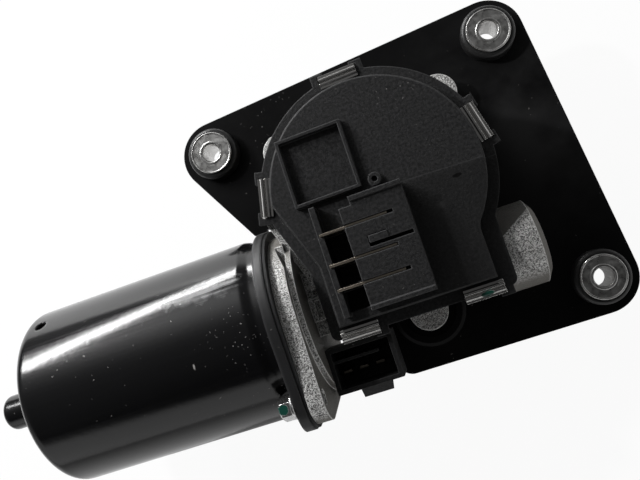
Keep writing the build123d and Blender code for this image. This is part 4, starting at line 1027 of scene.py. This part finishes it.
def makeBrushSprings():
    sides = brushSpring["sides"]
    for end in ("common", "low", "high"):
        nodeName = f"brush_spring_{end}"
        jointName = f"brush_{end}_slide"
        outward = jointAxes[jointName]
        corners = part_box(nodeName)
        centre = Vector(((corners[0].x + corners[1].x) / 2, motorAxis[1], motorAxis[2]))
        reaches = [(Vector(v.co) - centre).dot(outward) / mm for v in nodes[nodeName].data.vertices]
        low, high = min(reaches), max(reaches)
        turnTo = outward.to_track_quat("Z", "X").to_matrix()
        mesh = bmesh.new()
        rings = []
        for ring in windSpring(low, high):
            rings.append([mesh.verts.new(centre + turnTo @ (spot * mm)) for spot in ring])
        for first, second in zip(rings, rings[1:]):
            for side in range(sides):
                after = (side + 1) % sides
                mesh.faces.new((first[side], first[after], second[after], second[side]))
        mesh.faces.new(rings[0])
        mesh.faces.new(rings[-1])
        bmesh.ops.recalc_face_normals(mesh, faces=mesh.faces)
        for face in mesh.faces:
            face.smooth = len(face.verts) == 4
        piece = placePiece(mesh, f"woundSpring_{end}")
        fitPiece(piece, "frame", slotOf[nodeName], materials[slotOf[nodeName]], nodeName)
        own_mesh(piece)


makeBrushSprings()
makeBladeEdges()
makeSleeves()
makeHexScrews()
makeOutputShaft()
markClip()
print("small hardware made")


# Floor, world and lamps

floorLook = {
    "size": 12.0,
    "gap": 0.4,
    "tone": (0.86, 0.86, 0.86, 1.0),
    "roughness": 0.8,
    "cameraShare": 0.94,
    "glossyShare": 0.07,
}


def makeFloor():
    # to the camera the floor is nearly plain white, with a little of its shading for the shadow
    height = cadBox[0].z - floorLook["gap"] * mm
    bpy.ops.mesh.primitive_plane_add(size=floorLook["size"], location=(0, 0, height))
    floor = bpy.context.object
    floor.name = "floor"
    material, tree, shader = newMaterial("paleFloor", 0.0, floorLook["roughness"])
    shader.inputs["Base Color"].default_value = floorLook["tone"]
    rays = addNode(tree, "ShaderNodeLightPath", (0, 500))
    glow = addNode(tree, "ShaderNodeEmission", (500, 300), None, {"Strength": 1.0})
    glossy = mathNode(tree, "MULTIPLY", (200, 350), rays.outputs["Is Glossy Ray"], floorLook["glossyShare"])
    straight, through = rays.outputs["Is Camera Ray"], rays.outputs["Is Transmission Ray"]
    shown = mathNode(tree, "MAXIMUM", (200, 550), straight, through)
    seen = mathNode(tree, "MULTIPLY", (350, 550), shown, floorLook["cameraShare"])
    share = mathNode(tree, "MAXIMUM", (500, 500), seen, glossy)
    mix = addNode(tree, "ShaderNodeMixShader", (750, 200))
    join(
        tree,
        (share, mix.inputs["Fac"]),
        (shader.outputs["BSDF"], mix.inputs[1]),
        (glow.outputs["Emission"], mix.inputs[2]),
        (mix.outputs["Shader"], tree.nodes["Material Output"].inputs["Surface"]),
    )
    floor.data.materials.append(material)


worldLook = {
    "wallNear": 0.72,
    "wallFar": 0.12,
    "wallTop": 0.44,
    "ceilingFrom": 0.54,
    "ceilingFar": 0.11,
    "ceilingNear": 0.015,
    "farSide": (-0.5, 0.866, 0.0),
    "farFade": (-0.3, 0.45),
    "glowAt": (-0.433, 0.75, 0.5),
    "glow": 1.5,
    "glowFocus": 16.0,
    "glowRise": (0.28, 0.5),
}


def makeWorld():
    # pale walls up to about 26 degrees, darker on the far side, a dim ceiling that is lighter there,
    # a soft glow over the strip lamp, and plain white for the camera
    world = bpy.data.worlds.new("studio")
    scene.world = world
    world.use_nodes = True
    tree = world.node_tree
    background = tree.nodes["Background"]
    point = addNode(tree, "ShaderNodeTexCoord", (-900, 0)).outputs["Generated"]
    split = addNode(tree, "ShaderNodeSeparateXYZ", (-700, 0))
    join(tree, (point, split.inputs[0]))
    height = split.outputs["Z"]
    toFar = vectorNode(tree, "DOT_PRODUCT", (-700, -250), point, worldLook["farSide"])
    fade = worldLook["farFade"]
    ceiling = ramp(tree, (-500, -250), toFar, *fade, worldLook["ceilingNear"], worldLook["ceilingFar"])
    wall = ramp(tree, (-500, -100), toFar, *fade, worldLook["wallNear"], worldLook["wallFar"])
    level = ramp(tree, (-300, 0), height, worldLook["wallTop"], worldLook["ceilingFrom"], wall, ceiling)
    toGlow = vectorNode(tree, "DOT_PRODUCT", (-700, -500), point, worldLook["glowAt"])
    facing = mathNode(tree, "MAXIMUM", (-500, -500), toGlow, 0.0)
    glow = mathNode(tree, "POWER", (-350, -500), facing, worldLook["glowFocus"])
    high = ramp(tree, (-350, -700), height, *worldLook["glowRise"], 0.0, worldLook["glow"])
    level = mathNode(tree, "ADD", (-100, -100), level, mathNode(tree, "MULTIPLY", (-200, -500), glow, high))
    rays = addNode(tree, "ShaderNodeLightPath", (-500, 300))
    strength = mathNode(tree, "MAXIMUM", (-200, 100), level, rays.outputs["Is Camera Ray"])
    background.inputs["Color"].default_value = (1.0, 1.0, 1.0, 1.0)
    join(tree, (strength, background.inputs["Strength"]))


# each lamp: place, the point it looks at, size and power; the small one lights and casts shadows,
# and only the strip is seen in shiny faces
lamps = {
    "stripSoftbox": {
        "at": (-0.463, 0.711, 0.278), "to": (-0.095, -0.035, 0.028), "size": (0.78, 0.08), "power": 7.0,
        "mirrored": True,
    },
    "keyLamp": {
        "at": (-0.34, 0.26, 0.37), "to": (0.0, 0.0, 0.03), "size": (0.03, 0.03), "power": 2.4,
        "mirrored": False,
    },
}
stripAlong = Vector((-0.29, -0.222, 0.3445))


def makeLamps():
    for name, look in lamps.items():
        light = bpy.data.lights.new(name, "AREA")
        light.shape = "RECTANGLE"
        light.size, light.size_y = look["size"]
        light.energy = look["power"]
        lamp = bpy.data.objects.new(name, light)
        scene.collection.objects.link(lamp)
        back = (Vector(look["at"]) - Vector(look["to"])).normalized()
        along = stripAlong - back * stripAlong.dot(back)
        along.normalize()
        turn = Matrix((along, back.cross(along), back)).transposed()
        lamp.matrix_world = Matrix.Translation(look["at"]) @ turn.to_4x4()
        lamp.visible_glossy = look["mirrored"]


# fitted to the photograph: place, and the directions to the frame's right, foot and depth
cameraFit = {
    "at": (0.009382, -0.034207, 0.269768),
    "right": (0.933553, -0.313899, -0.173049),
    "down": (-0.325966, -0.944279, -0.045641),
    "ahead": (-0.149079, 0.099016, -0.983855),
    "focalPixels": 661.73,
    "widthPixels": 640,
}


def makeCamera():
    data = bpy.data.cameras.new("camera")
    data.sensor_width = 36.0
    data.lens = cameraFit["focalPixels"] / cameraFit["widthPixels"] * data.sensor_width
    data.clip_start = 0.01
    camera = bpy.data.objects.new("camera", data)
    scene.collection.objects.link(camera)
    right, down, ahead = (Vector(cameraFit[key]) for key in ("right", "down", "ahead"))
    turn = Matrix((right, -down, -ahead)).transposed()
    camera.matrix_world = Matrix.Translation(cameraFit["at"]) @ turn.to_4x4()
    scene.camera = camera


makeFloor()
makeWorld()
makeLamps()
makeCamera()
scene.view_settings.view_transform = "Standard"
print("stage, lamps and camera set")
